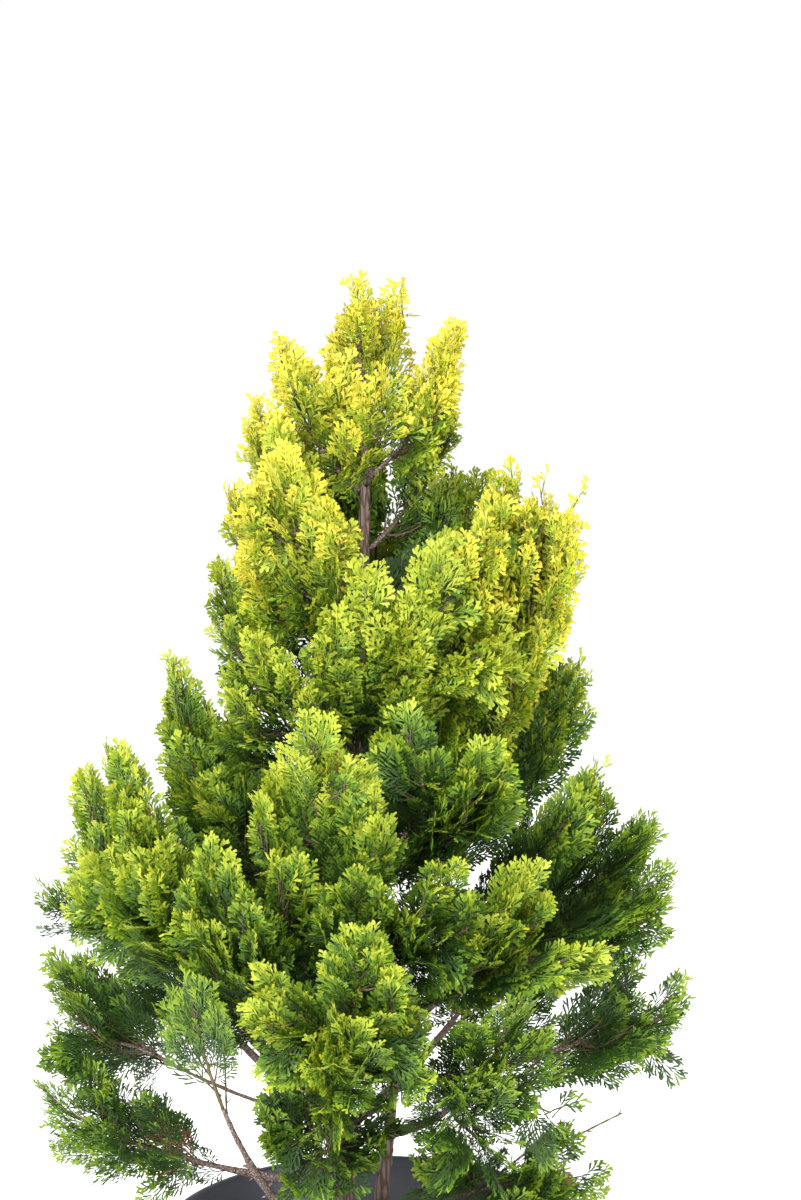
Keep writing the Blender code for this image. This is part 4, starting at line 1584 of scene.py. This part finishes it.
@dataclass
class Studio:
    """A pale floor, soft light and the camera."""

    place: Triple = (0.0193, -1.596, 0.880)
    pitch: float = 5.9
    lens: float = 70.0
    sensor: float = 36.0
    aim: Triple = (0.0, 0.0, 0.55)
    floor: float = 40.0
    floor_drop: float = 0.0005
    sky: float = 1.0

    def build(self) -> None:
        """Build the floor, the lights and the camera."""
        scene = bpy.context.scene
        scene.view_settings.view_transform = "Standard"
        eye = bpy.data.cameras.new("view")
        eye.lens, eye.sensor_width, eye.sensor_fit = self.lens, self.sensor, "AUTO"
        camera = bpy.data.objects.new("view", eye)
        camera.location = self.place
        camera.rotation_euler = (math.radians(90.0 - self.pitch), 0.0, 0.0)
        scene.collection.objects.link(camera)
        scene.camera = camera
        world = bpy.data.worlds.new("white_studio")
        world.use_nodes = True
        sky = world.node_tree.nodes["Background"]
        sky.inputs["Color"].default_value = (1.0, 1.0, 1.0, 1.0)
        sky.inputs["Strength"].default_value = self.sky
        scene.world = world
        self.lamp("key", (-1.1, -2.1, 2.3), size=1.2, power=190.0)
        self.lamp("fill", (1.7, -1.9, 1.2), size=1.6, power=60.0)
        self.build_floor()

    def lamp(self, name: str, place: Triple, size: float, power: float) -> None:
        """Add a square soft light that faces the crown.

        Args:
            name: Its name.
            place: Where it hangs.
            size: Its side.
            power: Its power in watts.
        """
        light = bpy.data.lights.new(name, "AREA")
        light.size, light.energy = size, power
        lamp = bpy.data.objects.new(name, light)
        lamp.location = place
        aim = Vector(self.aim) - Vector(place)
        lamp.rotation_euler = aim.to_track_quat("-Z", "Y").to_euler()
        bpy.context.scene.collection.objects.link(lamp)

    def build_floor(self) -> None:
        """Lay the pale floor just under the pot."""
        bpy.ops.mesh.primitive_plane_add(size=self.floor,
                                         location=(0.0, 0.0, -self.floor_drop))
        floor = bpy.context.object
        floor.name = "floor"
        made, _, shader, _ = Finishes.blank("pale_floor", roughness=0.9, gloss=0.1)
        shader.inputs["Base Color"].default_value = (0.93, 0.93, 0.93, 1.0)
        shader.inputs["Emission Color"].default_value = (1.0, 1.0, 1.0, 1.0)
        shader.inputs["Emission Strength"].default_value = 0.10
        floor.data.materials.append(made)


def finish_piece(piece: bpy.types.Object, name: str, material: bpy.types.Material,
                 nodes: tuple[str, ...] = ()) -> None:
    """Name, dress and report a piece, and hide the frame's nodes that it replaces.

    Args:
        piece: The object.
        name: Its name.
        material: Its finish.
        nodes: The frame's nodes that it replaces.
    """
    piece.name = name
    piece.data.name = name
    piece.data.materials.append(material)
    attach(piece, BODY)
    if nodes:
        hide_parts(*nodes)
    LOG.info("%s: %d faces", name, len(piece.data.polygons))


def edit_new(select: str) -> None:
    """Open the active object for editing with the given kind of selection."""
    bpy.ops.object.mode_set(mode="EDIT")
    bpy.ops.mesh.select_mode(type=select)


def places_of(mesh: bpy.types.Mesh) -> Array:
    """Read a mesh's vertices as rows of x, y and z.

    Args:
        mesh: The mesh.

    Returns:
        An array with a row for each.
    """
    places = np.empty(len(mesh.vertices) * 3, np.float32)
    mesh.vertices.foreach_get("co", places)
    return places.reshape(-1, 3)


def inner_radius(height: float) -> float:
    """Find the pot's inside radius at a height.

    Args:
        height: The height.

    Returns:
        The radius.
    """
    share = (height - POT_FLOOR) / (POT_HEIGHT - POT_FLOOR)
    narrow = POT_BASE_RADIUS - POT_WALL
    return narrow + share * (POT_MOUTH_RADIUS - POT_WALL - narrow)


def draw_up(profile: list[Pair], sides: int) -> bpy.types.Object:
    """Turn a profile by drawing a filled circle up through it, ring by ring.

    Args:
        profile: Rows of radius and height.
        sides: How many sides the circle has.

    Returns:
        The closed object, still open for editing, with its last face selected.
    """
    radius, height = profile[0]
    bpy.ops.mesh.primitive_circle_add(vertices=sides, radius=radius, fill_type="NGON",
                                      location=(0.0, 0.0, 0.0))
    made = bpy.context.object
    edit_new("FACE")
    bpy.ops.transform.translate(value=(0.0, 0.0, height))
    for (old, low), (new, high) in zip(profile, profile[1:]):
        bpy.ops.mesh.extrude_region_move(
            TRANSFORM_OT_translate={"value": (0.0, 0.0, high - low)})
        bpy.ops.transform.resize(value=(new / old, new / old, 1.0))
    return made


@dataclass
class Pot:
    """The round nursery container: tapered wall, collar, rolled lip and drain slots."""

    finishes: Finishes
    sides: int = 144
    lip: float = 0.0035
    lip_foot: float = 0.263
    lip_arc: Pair = (-0.22, 1.22)
    lip_steps: int = 12
    foot_rings: Triple = (0.0022, 0.008, 0.020)
    wall_foot: float = 0.05
    wall_rings: int = 7
    collar_foot: float = 0.236
    collar_step: float = 0.0008
    collar_top: float = 0.2590
    collar_proud: float = 0.0009
    inner_ring: float = 0.20
    slots: int = 8
    slot_band: Pair = (0.007, 0.021)
    slot_turn: Pair = (16.0, 29.0)
    slot_depth: float = 0.0018

    EDGE = ((-0.0020, 0.0), (-0.0005, 0.0006))
    UNDER_LIP = ((-0.5, 0.2622), (0.35, 0.2626))

    def outer_radius(self, height: float) -> float:
        """Return the wall's outside radius at a height."""
        top = inner_radius(self.lip_foot) + POT_WALL
        return POT_BASE_RADIUS + (top - POT_BASE_RADIUS) * height / (self.lip_foot - self.lip)

    def profile(self) -> list[Pair]:
        """List the rows of radius and height, from the underside over the lip to the floor.

        Returns:
            The rows.
        """
        rows = [(POT_BASE_RADIUS + out, height) for out, height in self.EDGE]
        heights = [*self.foot_rings,
                   *np.linspace(self.wall_foot, self.collar_foot, self.wall_rings)]
        rows += [(self.outer_radius(height), height) for height in heights]
        proud = self.collar_proud
        rows += [(self.outer_radius(self.collar_foot) + proud, self.collar_foot + self.collar_step),
                 (self.outer_radius(self.collar_top) + proud * 0.4, self.collar_top)]
        centre = POT_RIM_RADIUS - self.lip
        middle = POT_HEIGHT - self.lip
        rows += [(centre + self.lip * part, height) for part, height in self.UNDER_LIP]
        first, arc = self.lip_arc
        for step in range(1, self.lip_steps + 1):
            angle = math.pi * (first + arc * step / self.lip_steps)
            rows.append((centre + self.lip * math.cos(angle), middle + self.lip * math.sin(angle)))
        return rows + [(inner_radius(height), height)
                       for height in (self.collar_top, self.inner_ring, POT_FLOOR)]

    def build(self) -> None:
        """Draw the wall up, sink the drain slots and dress the pot."""
        piece = draw_up(self.profile(), self.sides)
        self.sink_slots(piece)
        bpy.ops.mesh.select_all(action="SELECT")
        bpy.ops.mesh.normals_make_consistent(inside=False)
        bpy.ops.object.mode_set(mode="OBJECT")
        bpy.ops.object.shade_smooth_by_angle(angle=math.radians(35))
        finish_piece(piece, "nursery_pot", self.finishes.plastic, ("pot",))

    def sink_slots(self, piece: bpy.types.Object) -> None:
        """Press shallow drain slots into the wall's lowest band.

        Args:
            piece: The pot, open for editing.
        """
        bpy.ops.mesh.select_all(action="DESELECT")
        bpy.ops.object.mode_set(mode="OBJECT")
        low, high = self.slot_band
        first, last = self.slot_turn
        for face in piece.data.polygons:
            banded = all(low < piece.data.vertices[v].co.z < high for v in face.vertices)
            turn = math.degrees(math.atan2(face.center.y, face.center.x)) % (360.0 / self.slots)
            face.select = banded and first < turn < last and len(face.vertices) == 4
        bpy.ops.object.mode_set(mode="EDIT")
        bpy.ops.mesh.inset(thickness=0.0008, depth=0.0, use_boundary=True)
        bpy.ops.mesh.inset(thickness=0.0004, depth=-self.slot_depth, use_boundary=True)


@dataclass
class PottingMix:
    """The mix that fills the pot: a crumbly top with bark chips and grit."""

    finishes: Finishes
    sides: int = 96
    rings: int = 34
    chips: int = 1500
    grains: int = 260
    seed: int = 5
    ring: float = 0.0038
    waist: float = 0.12
    edge: float = 0.006
    margin: float = 0.007

    GRAIN = (0.0007, 0.0015)
    CHIP = ((0.0022, 0.0060), (0.0014, 0.0030), (0.0005, 0.0011))
    WORN = (0.72, 1.1)
    TILT = 0.18
    RAISED = 0.6
    LUMPS = (38, 0.3, 0.0022)
    CRUMBS = (190, 4.1, 0.0012)

    def build(self) -> None:
        """Fill the pot, roughen the top and strew it."""
        foot = POT_FLOOR + GAP
        piece = draw_up([(inner_radius(height) - GAP, height)
                         for height in (foot, self.waist, SOIL_TOP)], self.sides)
        for _ in range(self.rings):
            bpy.ops.mesh.inset(thickness=self.ring)
        bpy.ops.mesh.select_all(action="SELECT")
        bpy.ops.mesh.normals_make_consistent(inside=False)
        bpy.ops.object.mode_set(mode="OBJECT")
        places = places_of(piece.data)
        for place in places:
            if place[2] > SOIL_TOP - 1e-4:
                place[2] += self.relief(place[0], place[1])
        piece.data.vertices.foreach_set("co", places.ravel())
        bpy.ops.object.shade_smooth()
        finish_piece(piece, "potting_mix_bed", self.finishes.mix,
                     ("potting_mix",))
        self.strew()

    def relief(self, x: float, y: float) -> float:
        """Find how far the top stands over its level.

        Args:
            x: The place across the mix.
            y: The same, along it.

        Returns:
            The height.
        """
        edge = min(1.0, max(0.0, (inner_radius(SOIL_TOP) - math.hypot(x, y)) / self.edge))
        large, small = (noise.noise(Vector((x * fine, y * fine, level))) * height
                        for fine, level, height in (self.LUMPS, self.CRUMBS))
        return (large + small) * edge

    def strew(self) -> None:
        """Lay bark chips and grit on the mix."""
        draw = np.random.default_rng(self.seed)
        bins = (Bin(), Bin())
        box = np.array([(x, y, z) for x in (-1, 1) for y in (-1, 1) for z in (-1, 1)], float)
        faces = np.array(((0, 1, 3), (0, 3, 2), (4, 6, 7), (4, 7, 5), (0, 4, 5), (0, 5, 1),
                          (2, 3, 7), (2, 7, 6), (0, 2, 6), (0, 6, 4), (1, 5, 7), (1, 7, 3)))
        for number in range(self.chips + self.grains):
            grain = number >= self.chips
            reach = (inner_radius(SOIL_TOP) - self.margin) * math.sqrt(draw.uniform(0, 1))
            turn = draw.uniform(0, math.tau)
            x, y = reach * math.cos(turn), reach * math.sin(turn)
            size = draw.uniform(*self.GRAIN, 3) if grain else np.array(
                [draw.uniform(*side) for side in self.CHIP])
            shape = box * size * draw.uniform(*self.WORN, (8, 3))
            axes, _ = np.linalg.qr(np.array((
                (math.cos(turn * 7), math.sin(turn * 7), draw.normal(0, self.TILT)),
                (-math.sin(turn * 7), math.cos(turn * 7), draw.normal(0, self.TILT)),
                (0.01, 0.02, 1.0))).T)
            if np.linalg.det(axes) < 0:
                axes[:, 2] *= -1
            place = np.array((x, y, SOIL_TOP + self.relief(x, y) + size[2] * self.RAISED))
            bins[grain].add(shape @ axes.T + place, faces)
        bins[0].finish("bark_chips", self.finishes.chip, "potting_mix")
        bins[1].finish("perlite_grit", self.finishes.grit, "potting_mix")


@dataclass
class Stems:
    """The trunk, the second stem and the boughs, with the bark's relief."""

    finishes: Finishes
    foliage: Foliage
    trunk_sides: int = 28
    bough_sides: int = 14
    ring: float = 0.0026
    sunk: float = 0.004
    spread: float = 1.06
    smoothings: int = 3
    stem_step: float = 0.006
    stem_relief: dict[str, float] = field(
        default_factory=lambda: {"trunk": 0.13, "second_stem": 0.10})
    bough_step: float = 0.004
    bough_sunk: float = 0.0030
    bough_relief: float = 0.16
    collar: Pair = (0.45, 0.006)
    ridges: Pair = (2.1, 42)
    scars: Pair = (1.1, 105)
    scar_level: float = 0.28
    scar_gain: float = 0.55
    seed: int = 3

    BOUGH_STUBS = 0.0075
    STEM_STUBS = (("trunk", 7, 0.0066, 0.0150), ("second_stem", 5, 0.0042, 0.0110))
    STUB_AHEAD = (0.3, 1.0)
    STUB_REACH = (0.0012, 0.0036)
    STUB_WIDE = (0.0006, 0.0011)
    STUB_TAPER = (1.5, 1.15, 1.0, 0.7)

    def build(self) -> None:
        """Build each stem and bough along its path."""
        for name, rows in STEMS.items():
            table = np.array(rows)
            points = along_path(table[:, [1, 2, 0]], self.stem_step)
            for _ in range(self.smoothings):
                points[1:-1] = (points[:-2] + 2 * points[1:-1] + points[2:]) / 4
            radii = np.interp(points[:, 2], table[:, 0], table[:, 3])
            points = np.concatenate([[points[0] - UP * self.sunk], points])
            radii = np.concatenate([[radii[0] * self.spread], radii])
            piece = self.swept(points, radii, self.trunk_sides, self.stem_relief[name])
            finish_piece(piece, name + "_bark", self.finishes.trunk, (name,))
        for limb in LIMBS:
            if not limb.bough:
                continue
            path = self.foliage.paths[limb.name][0][:bare_steps(limb) + 1]
            points = along_path(path, self.bough_step)
            outward = unit(points[1] - points[0])
            points = np.concatenate([[points[0] - outward * self.bough_sunk], points])
            walk = np.linspace(0.0, 1.0, len(points))
            radii = BOUGH_RADIUS + (BOUGH_TIP_RADIUS - BOUGH_RADIUS) * walk
            swell, fade = self.collar
            radii *= 1.0 + swell * np.exp(-walk * path_length(points) / fade)
            piece = self.swept(points, radii, self.bough_sides, self.bough_relief)
            finish_piece(piece, "bough_bark_" + limb.name, self.finishes.bough,
                         ("bough_" + limb.name,))
        self.add_stubs()

    def add_stubs(self) -> None:
        """Set short broken stubs on the bare boughs and on the trunk."""
        draw = np.random.default_rng(self.seed)
        made = Bin()
        rows = [(self.foliage.paths[limb.name][0][:bare_steps(limb) + 1], BOUGH_RADIUS,
                 self.BOUGH_STUBS) for limb in LIMBS if limb.bough]
        rows += [(np.array(STEMS[name])[:count, [1, 2, 0]], radius, pitch)
                 for name, count, radius, pitch in self.STEM_STUBS]
        for points, radius, pitch in rows:
            fine = along_path(points, pitch)
            for start, after in zip(fine[1:-1], fine[2:]):
                ahead = unit(after - start)
                level, front = lateral_frame(ahead)
                turn = draw.uniform(0, math.tau)
                out = swung(level, front, turn)
                axis = unit(out + ahead * draw.uniform(*self.STUB_AHEAD))
                length = radius * 0.9 + draw.uniform(*self.STUB_REACH)
                stub = start + axis * np.linspace(radius * 0.4, length, 4)[:, None]
                wide = draw.uniform(*self.STUB_WIDE)
                made.add(*tube_arrays(stub, wide * np.array(self.STUB_TAPER), 6))
        made.finish("bark_stubs", self.finishes.bough, "bark", smooth=True)

    def swept(self, points: Array, radii: Array, sides: int, relief: float) -> bpy.types.Object:
        """Make a straight column with relief and bend it along a path.

        Args:
            points: The path.
            radii: The radius at each point.
            sides: How many sides the column has.
            relief: The depth of the bark as a share of the radius.

        Returns:
            The bent piece.
        """
        length = path_length(points)
        rings = max(6, round(length / self.ring))
        bpy.ops.mesh.primitive_cylinder_add(vertices=sides, radius=1.0, depth=length,
                                            end_fill_type="NGON", location=(0, 0, length / 2))
        piece = bpy.context.object
        bpy.ops.object.transform_apply(location=True, rotation=False, scale=False)
        edit_new("EDGE")
        bpy.ops.mesh.select_all(action="DESELECT")
        bpy.ops.object.mode_set(mode="OBJECT")
        for edge in piece.data.edges:
            ends = [piece.data.vertices[v].co.z for v in edge.vertices]
            edge.select = abs(ends[0] - ends[1]) > length / 2
        bpy.ops.object.mode_set(mode="EDIT")
        bpy.ops.mesh.subdivide(number_cuts=rings)
        bpy.ops.object.mode_set(mode="OBJECT")
        self.shape(piece, points, radii, relief)
        bpy.ops.object.shade_smooth()
        self.bend(piece, points)
        return piece

    def shape(self, piece: bpy.types.Object, points: Array, radii: Array, relief: float) -> None:
        """Give the column its taper, its bark's ridges and its scars.

        Args:
            piece: The straight column.
            points: The path that it will follow.
            radii: The radius at each point.
            relief: The bark's depth as a share of it.
        """
        walked = walked_along(points)
        places = places_of(piece.data)
        seed = float(points[0].sum() * 97)
        (flat, tall), (scar_flat, scar_tall) = self.ridges, self.scars
        for place in places:
            x, y, z = (float(v) for v in place)
            radius = float(np.interp(z, walked, radii))
            ridge = noise.fractal(Vector((x * flat + seed, y * flat, z * tall)), 0.9, 2.1, 4)
            spot = Vector((x * scar_flat, y * scar_flat + seed, z * scar_tall))
            scar = max(0.0, noise.noise(spot) - self.scar_level)
            swell = 1.0 + relief * ridge + self.scar_gain * scar
            place[0], place[1] = x * radius * swell, y * radius * swell
        piece.data.vertices.foreach_set("co", places.ravel())
        piece.data.update()

    @staticmethod
    def bend(piece: bpy.types.Object, points: Array) -> None:
        """Bend a column along a path and apply the bend.

        Args:
            piece: The column.
            points: The path.
        """
        guide_data = bpy.data.curves.new("guide", "CURVE")
        guide_data.dimensions = "3D"
        guide_data.use_path = True
        spline = guide_data.splines.new("POLY")
        spline.points.add(len(points) - 1)
        for target, point in zip(spline.points, points):
            target.co = (*point, 1.0)
        guide = bpy.data.objects.new("guide", guide_data)
        bpy.context.scene.collection.objects.link(guide)
        bend = piece.modifiers.new("bend", "CURVE")
        bend.object = guide
        bend.deform_axis = "POS_Z"
        bpy.context.view_layer.objects.active = piece
        bpy.ops.object.modifier_apply(modifier="bend")
        bpy.data.objects.remove(guide, do_unlink=True)
        bpy.data.curves.remove(guide_data)
        piece.select_set(False)


@dataclass
class BareTwigs:
    """The thin leafless twigs among the low boughs, knobbly and with short spurs."""

    finishes: Finishes
    foliage: Foliage
    step: float = 0.003
    sides: int = 7
    knobs: Pair = (0.22, 2.1)
    first_spur: int = 3
    spur_every: int = 4
    spur_sides: int = 5
    spur_turn: float = 2.2
    spur_ahead: float = 0.8
    spur_length: Pair = (0.0045, 0.001)
    spur_radii: Pair = (0.6, 0.0002)
    handles: Triple = (0.35, 0.70, 0.6)

    def build(self) -> None:
        """Build each twig as one piece."""
        for number, twig in enumerate(BARE_TWIGS):
            made = Bin()
            fine = along_path(self.path_of(twig), self.step)
            radii = np.linspace(twig.radius, twig.radius * 0.5, len(fine))
            swell, beat = self.knobs
            radii *= 1.0 + swell * np.sin(np.arange(len(fine)) * beat)
            made.add(*tube_arrays(fine, radii, self.sides))
            for step in range(self.first_spur, len(fine) - 1, self.spur_every):
                self.add_spur(made, fine, step, twig.radius)
            bark = self.finishes.amber_twig if twig.amber else self.finishes.twig
            made.finish(f"bare_twig_{number + 1}", bark, "bark", smooth=True)

    def path_of(self, twig: BareTwig) -> Array:
        """Trace a twig from its limb over a slight sag to its end.

        Args:
            twig: The twig.

        Returns:
            The places of its path.
        """
        path = self.foliage.paths[twig.limb][0]
        spot = twig.share * PATH_STEPS
        start = path[int(spot)] + (path[int(spot) + 1] - path[int(spot)]) * (spot % 1)
        end = tip_place(twig.heading, twig.reach, twig.tip)
        first, second, less = self.handles
        leave = start + (end - start) * first - UP * twig.sag
        arrive = start + (end - start) * second - UP * twig.sag * less
        return cubic((start, leave, arrive, end), PATH_STEPS)

    def add_spur(self, made: Bin, fine: Array, step: int, radius: float) -> None:
        """Set one short spur on a twig, turned on from the last one.

        Args:
            made: The twig's bin.
            fine: The twig's path.
            step: The spur's place on it.
            radius: The twig's radius.
        """
        along = unit(fine[step + 1] - fine[step])
        level, front = lateral_frame(along)
        turn = step * self.spur_turn
        out = unit(along * self.spur_ahead + level * math.cos(turn) + front * math.sin(turn))
        length, more = self.spur_length
        spur = fine[step] + out * np.linspace(0.0, length + more * (step % 3), 4)[:, None]
        foot, tip = self.spur_radii
        made.add(*tube_arrays(spur, np.linspace(radius * foot, tip, 4), self.spur_sides))


@dataclass
class Crown:
    """The leaves and twigs of every plume, joined by region and colour."""

    finishes: Finishes
    foliage: Foliage
    seed: int = 11
    dry_score: float = 0.12
    dry_chance: float = 0.05
    barked: float = 0.40
    twig_play: float = 0.045
    middle: float = 0.47
    leaf_scores: Pair = (0.06, -0.09)
    palest: Pair = (0.50, 0.38)
    stem_step: float = 0.0035
    stem_part: float = 0.80
    stem_thinning: float = 0.6
    stem_play: Pair = (0.86, 1.16)
    stem_sides: int = 8
    twig_sides: int = 5
    spray_sides: int = 4
    spray_stem: Pair = (-0.004, 0.42)
    spray_radius: Pair = (0.00045, 0.0045)
    spray_taper: float = 0.45

    def build(self) -> None:
        """Grow every shoot's stem, twigs and leaves and join them."""
        leaves: dict[tuple[Region, Tint], Bin] = {}
        twigs = {region: Bin() for region in Region}
        stems = {region: Bin() for region in Region}
        draw = np.random.default_rng(self.seed)
        count = 0
        for limb in LIMBS:
            self.add_stems(limb, stems[limb.region], twigs[limb.region], draw)
        for index, shoot in enumerate(self.foliage.shoots):
            region = shoot.limb.region
            for spray in self.foliage.sprays_of(index):
                pattern = self.foliage.pattern_for(shoot, spray, count)
                count += 1
                dry = (region is LOW and spray.score < self.dry_score
                       and draw.uniform() < self.dry_chance)
                self.add_leaves(spray, pattern, shoot, leaves, draw, dry)
                self.add_twig(spray, twigs[region])
        LOG.info("%d sprays", count)
        for region in Region:
            nodes = self.nodes_of(region)
            stems[region].finish(f"stems_{region.value}", self.finishes.bough, "bark", True, nodes)
            twigs[region].finish(f"twigs_{region.value}", self.finishes.twig, "bark", True, nodes)
        BareTwigs(self.finishes, self.foliage).build()
        for (region, tint), found in sorted(leaves.items(), key=lambda row: str(row[0])):
            found.finish(f"leaves_{region.value}_{tint.name.lower()}", self.finishes.leaves[tint],
                         LEAF_FINISHES[tint].slot, nodes=self.nodes_of(region))

    @staticmethod
    def nodes_of(region: Region) -> tuple[str, ...]:
        """Return the frame's foliage nodes in a region."""
        return tuple("foliage_" + limb.name for limb in LIMBS if limb.region is region)

    def add_leaves(self, spray: Spray, pattern: SprayPattern, shoot: Shoot,
                   leaves: dict[tuple[Region, Tint], Bin], draw: np.random.Generator,
                   dry: bool) -> None:
        """Lay a pattern's leaves along a spray and deal their colours by side twig.

        Args:
            spray: The spray.
            pattern: Its leaves.
            shoot: The shoot that carries it.
            leaves: The bins to fill, by region and tint.
            draw: The crown's own draw.
            dry: Whether the spray is dead.
        """
        region = shoot.limb.region
        corners = spray.bent(pattern.corners, pattern.length)
        twig_score = draw.normal(0, self.twig_play, pattern.twigs.max() + 1)
        # Leaves towards a spray's end score higher for its golden tips; the darker foot is painted
        # shade, and the spray's own score carries the painted shade deep in the crown.
        score = (spray.score + shoot.limb.habit.slope * (pattern.outer - self.middle)
                 + twig_score[pattern.twigs] + np.where(pattern.tips, *self.leaf_scores))
        most = self.palest[0] + self.palest[1] * shoot.limb.gold
        level = np.digitize(np.minimum(score, most), TINT_STEPS)
        if dry:
            level[:] = Tint.DRY.value
        for tint in Tint:
            chosen = np.flatnonzero(level == tint.value)
            if len(chosen):
                found = leaves.setdefault((region, tint), Bin())
                block = corners[chosen].reshape(-1, 3)
                faces = (FACES[None] + 4 * np.arange(len(chosen))[:, None, None]).reshape(-1, 3)
                found.add(block, faces)

    def add_twig(self, spray: Spray, twigs: Bin) -> None:
        """Lay the spray's own woody stem along its lower part.

        Args:
            spray: The spray.
            twigs: The bin to fill.
        """
        first, part = self.spray_stem
        flat = np.zeros((5, 3))
        flat[:, 1] = np.linspace(first, part * spray.length, 5)
        least, gain = self.spray_radius
        radius = least + gain * spray.length
        radii = np.linspace(radius, radius * self.spray_taper, 5)
        twigs.add(*tube_arrays(spray.bent(flat, spray.length), radii, self.spray_sides))

    def add_stems(self, limb: Limb, stems: Bin, twigs: Bin, draw: np.random.Generator) -> None:
        """Add the stems of a limb, its forks and its side shoots, with small swellings.

        Args:
            limb: The limb.
            stems: The bin for barked stretches.
            twigs: The bin for the rest.
            draw: The crown's own draw.
        """
        path, forks = self.foliage.paths[limb.name]
        first = bare_steps(limb) if limb.bough else 0
        rows = [(path[first:], BOUGH_TIP_RADIUS if limb.bough else LIMB_RADIUS, True)]
        rows += [(fork, STEM_RADIUS, True) for fork in forks]
        rows += [(side.points, SIDE_RADIUS, False) for side in self.foliage.sides
                 if side.limb is limb]
        for points, radius, barked in rows:
            fine = along_path(points, self.stem_step)
            fine = fine[:max(5, int(len(fine) * self.stem_part))]
            walk = np.linspace(0.0, 1.0, len(fine))
            slim = min(STEM_TIP_RADIUS, radius * 0.5)
            radii = radius + (slim - radius) * walk**self.stem_thinning
            radii *= draw.uniform(*self.stem_play, len(fine))
            split = max(2, round(len(fine) * self.barked)) if barked else 0
            if barked:
                stems.add(*tube_arrays(fine[:split + 1], radii[:split + 1], self.stem_sides))
            twigs.add(*tube_arrays(fine[split:], radii[split:], self.twig_sides))


def main() -> None:
    """Build the plant, its pot and the studio, and report each piece."""
    logging.basicConfig(level=logging.INFO, format="%(message)s")
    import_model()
    bpy.ops.object.select_all(action="DESELECT")
    Studio().build()
    finishes = Finishes()
    Pot(finishes).build()
    PottingMix(finishes).build()
    foliage = Foliage()
    Stems(finishes, foliage).build()
    Crown(finishes, foliage).build()


if __name__ == "__main__":
    main()
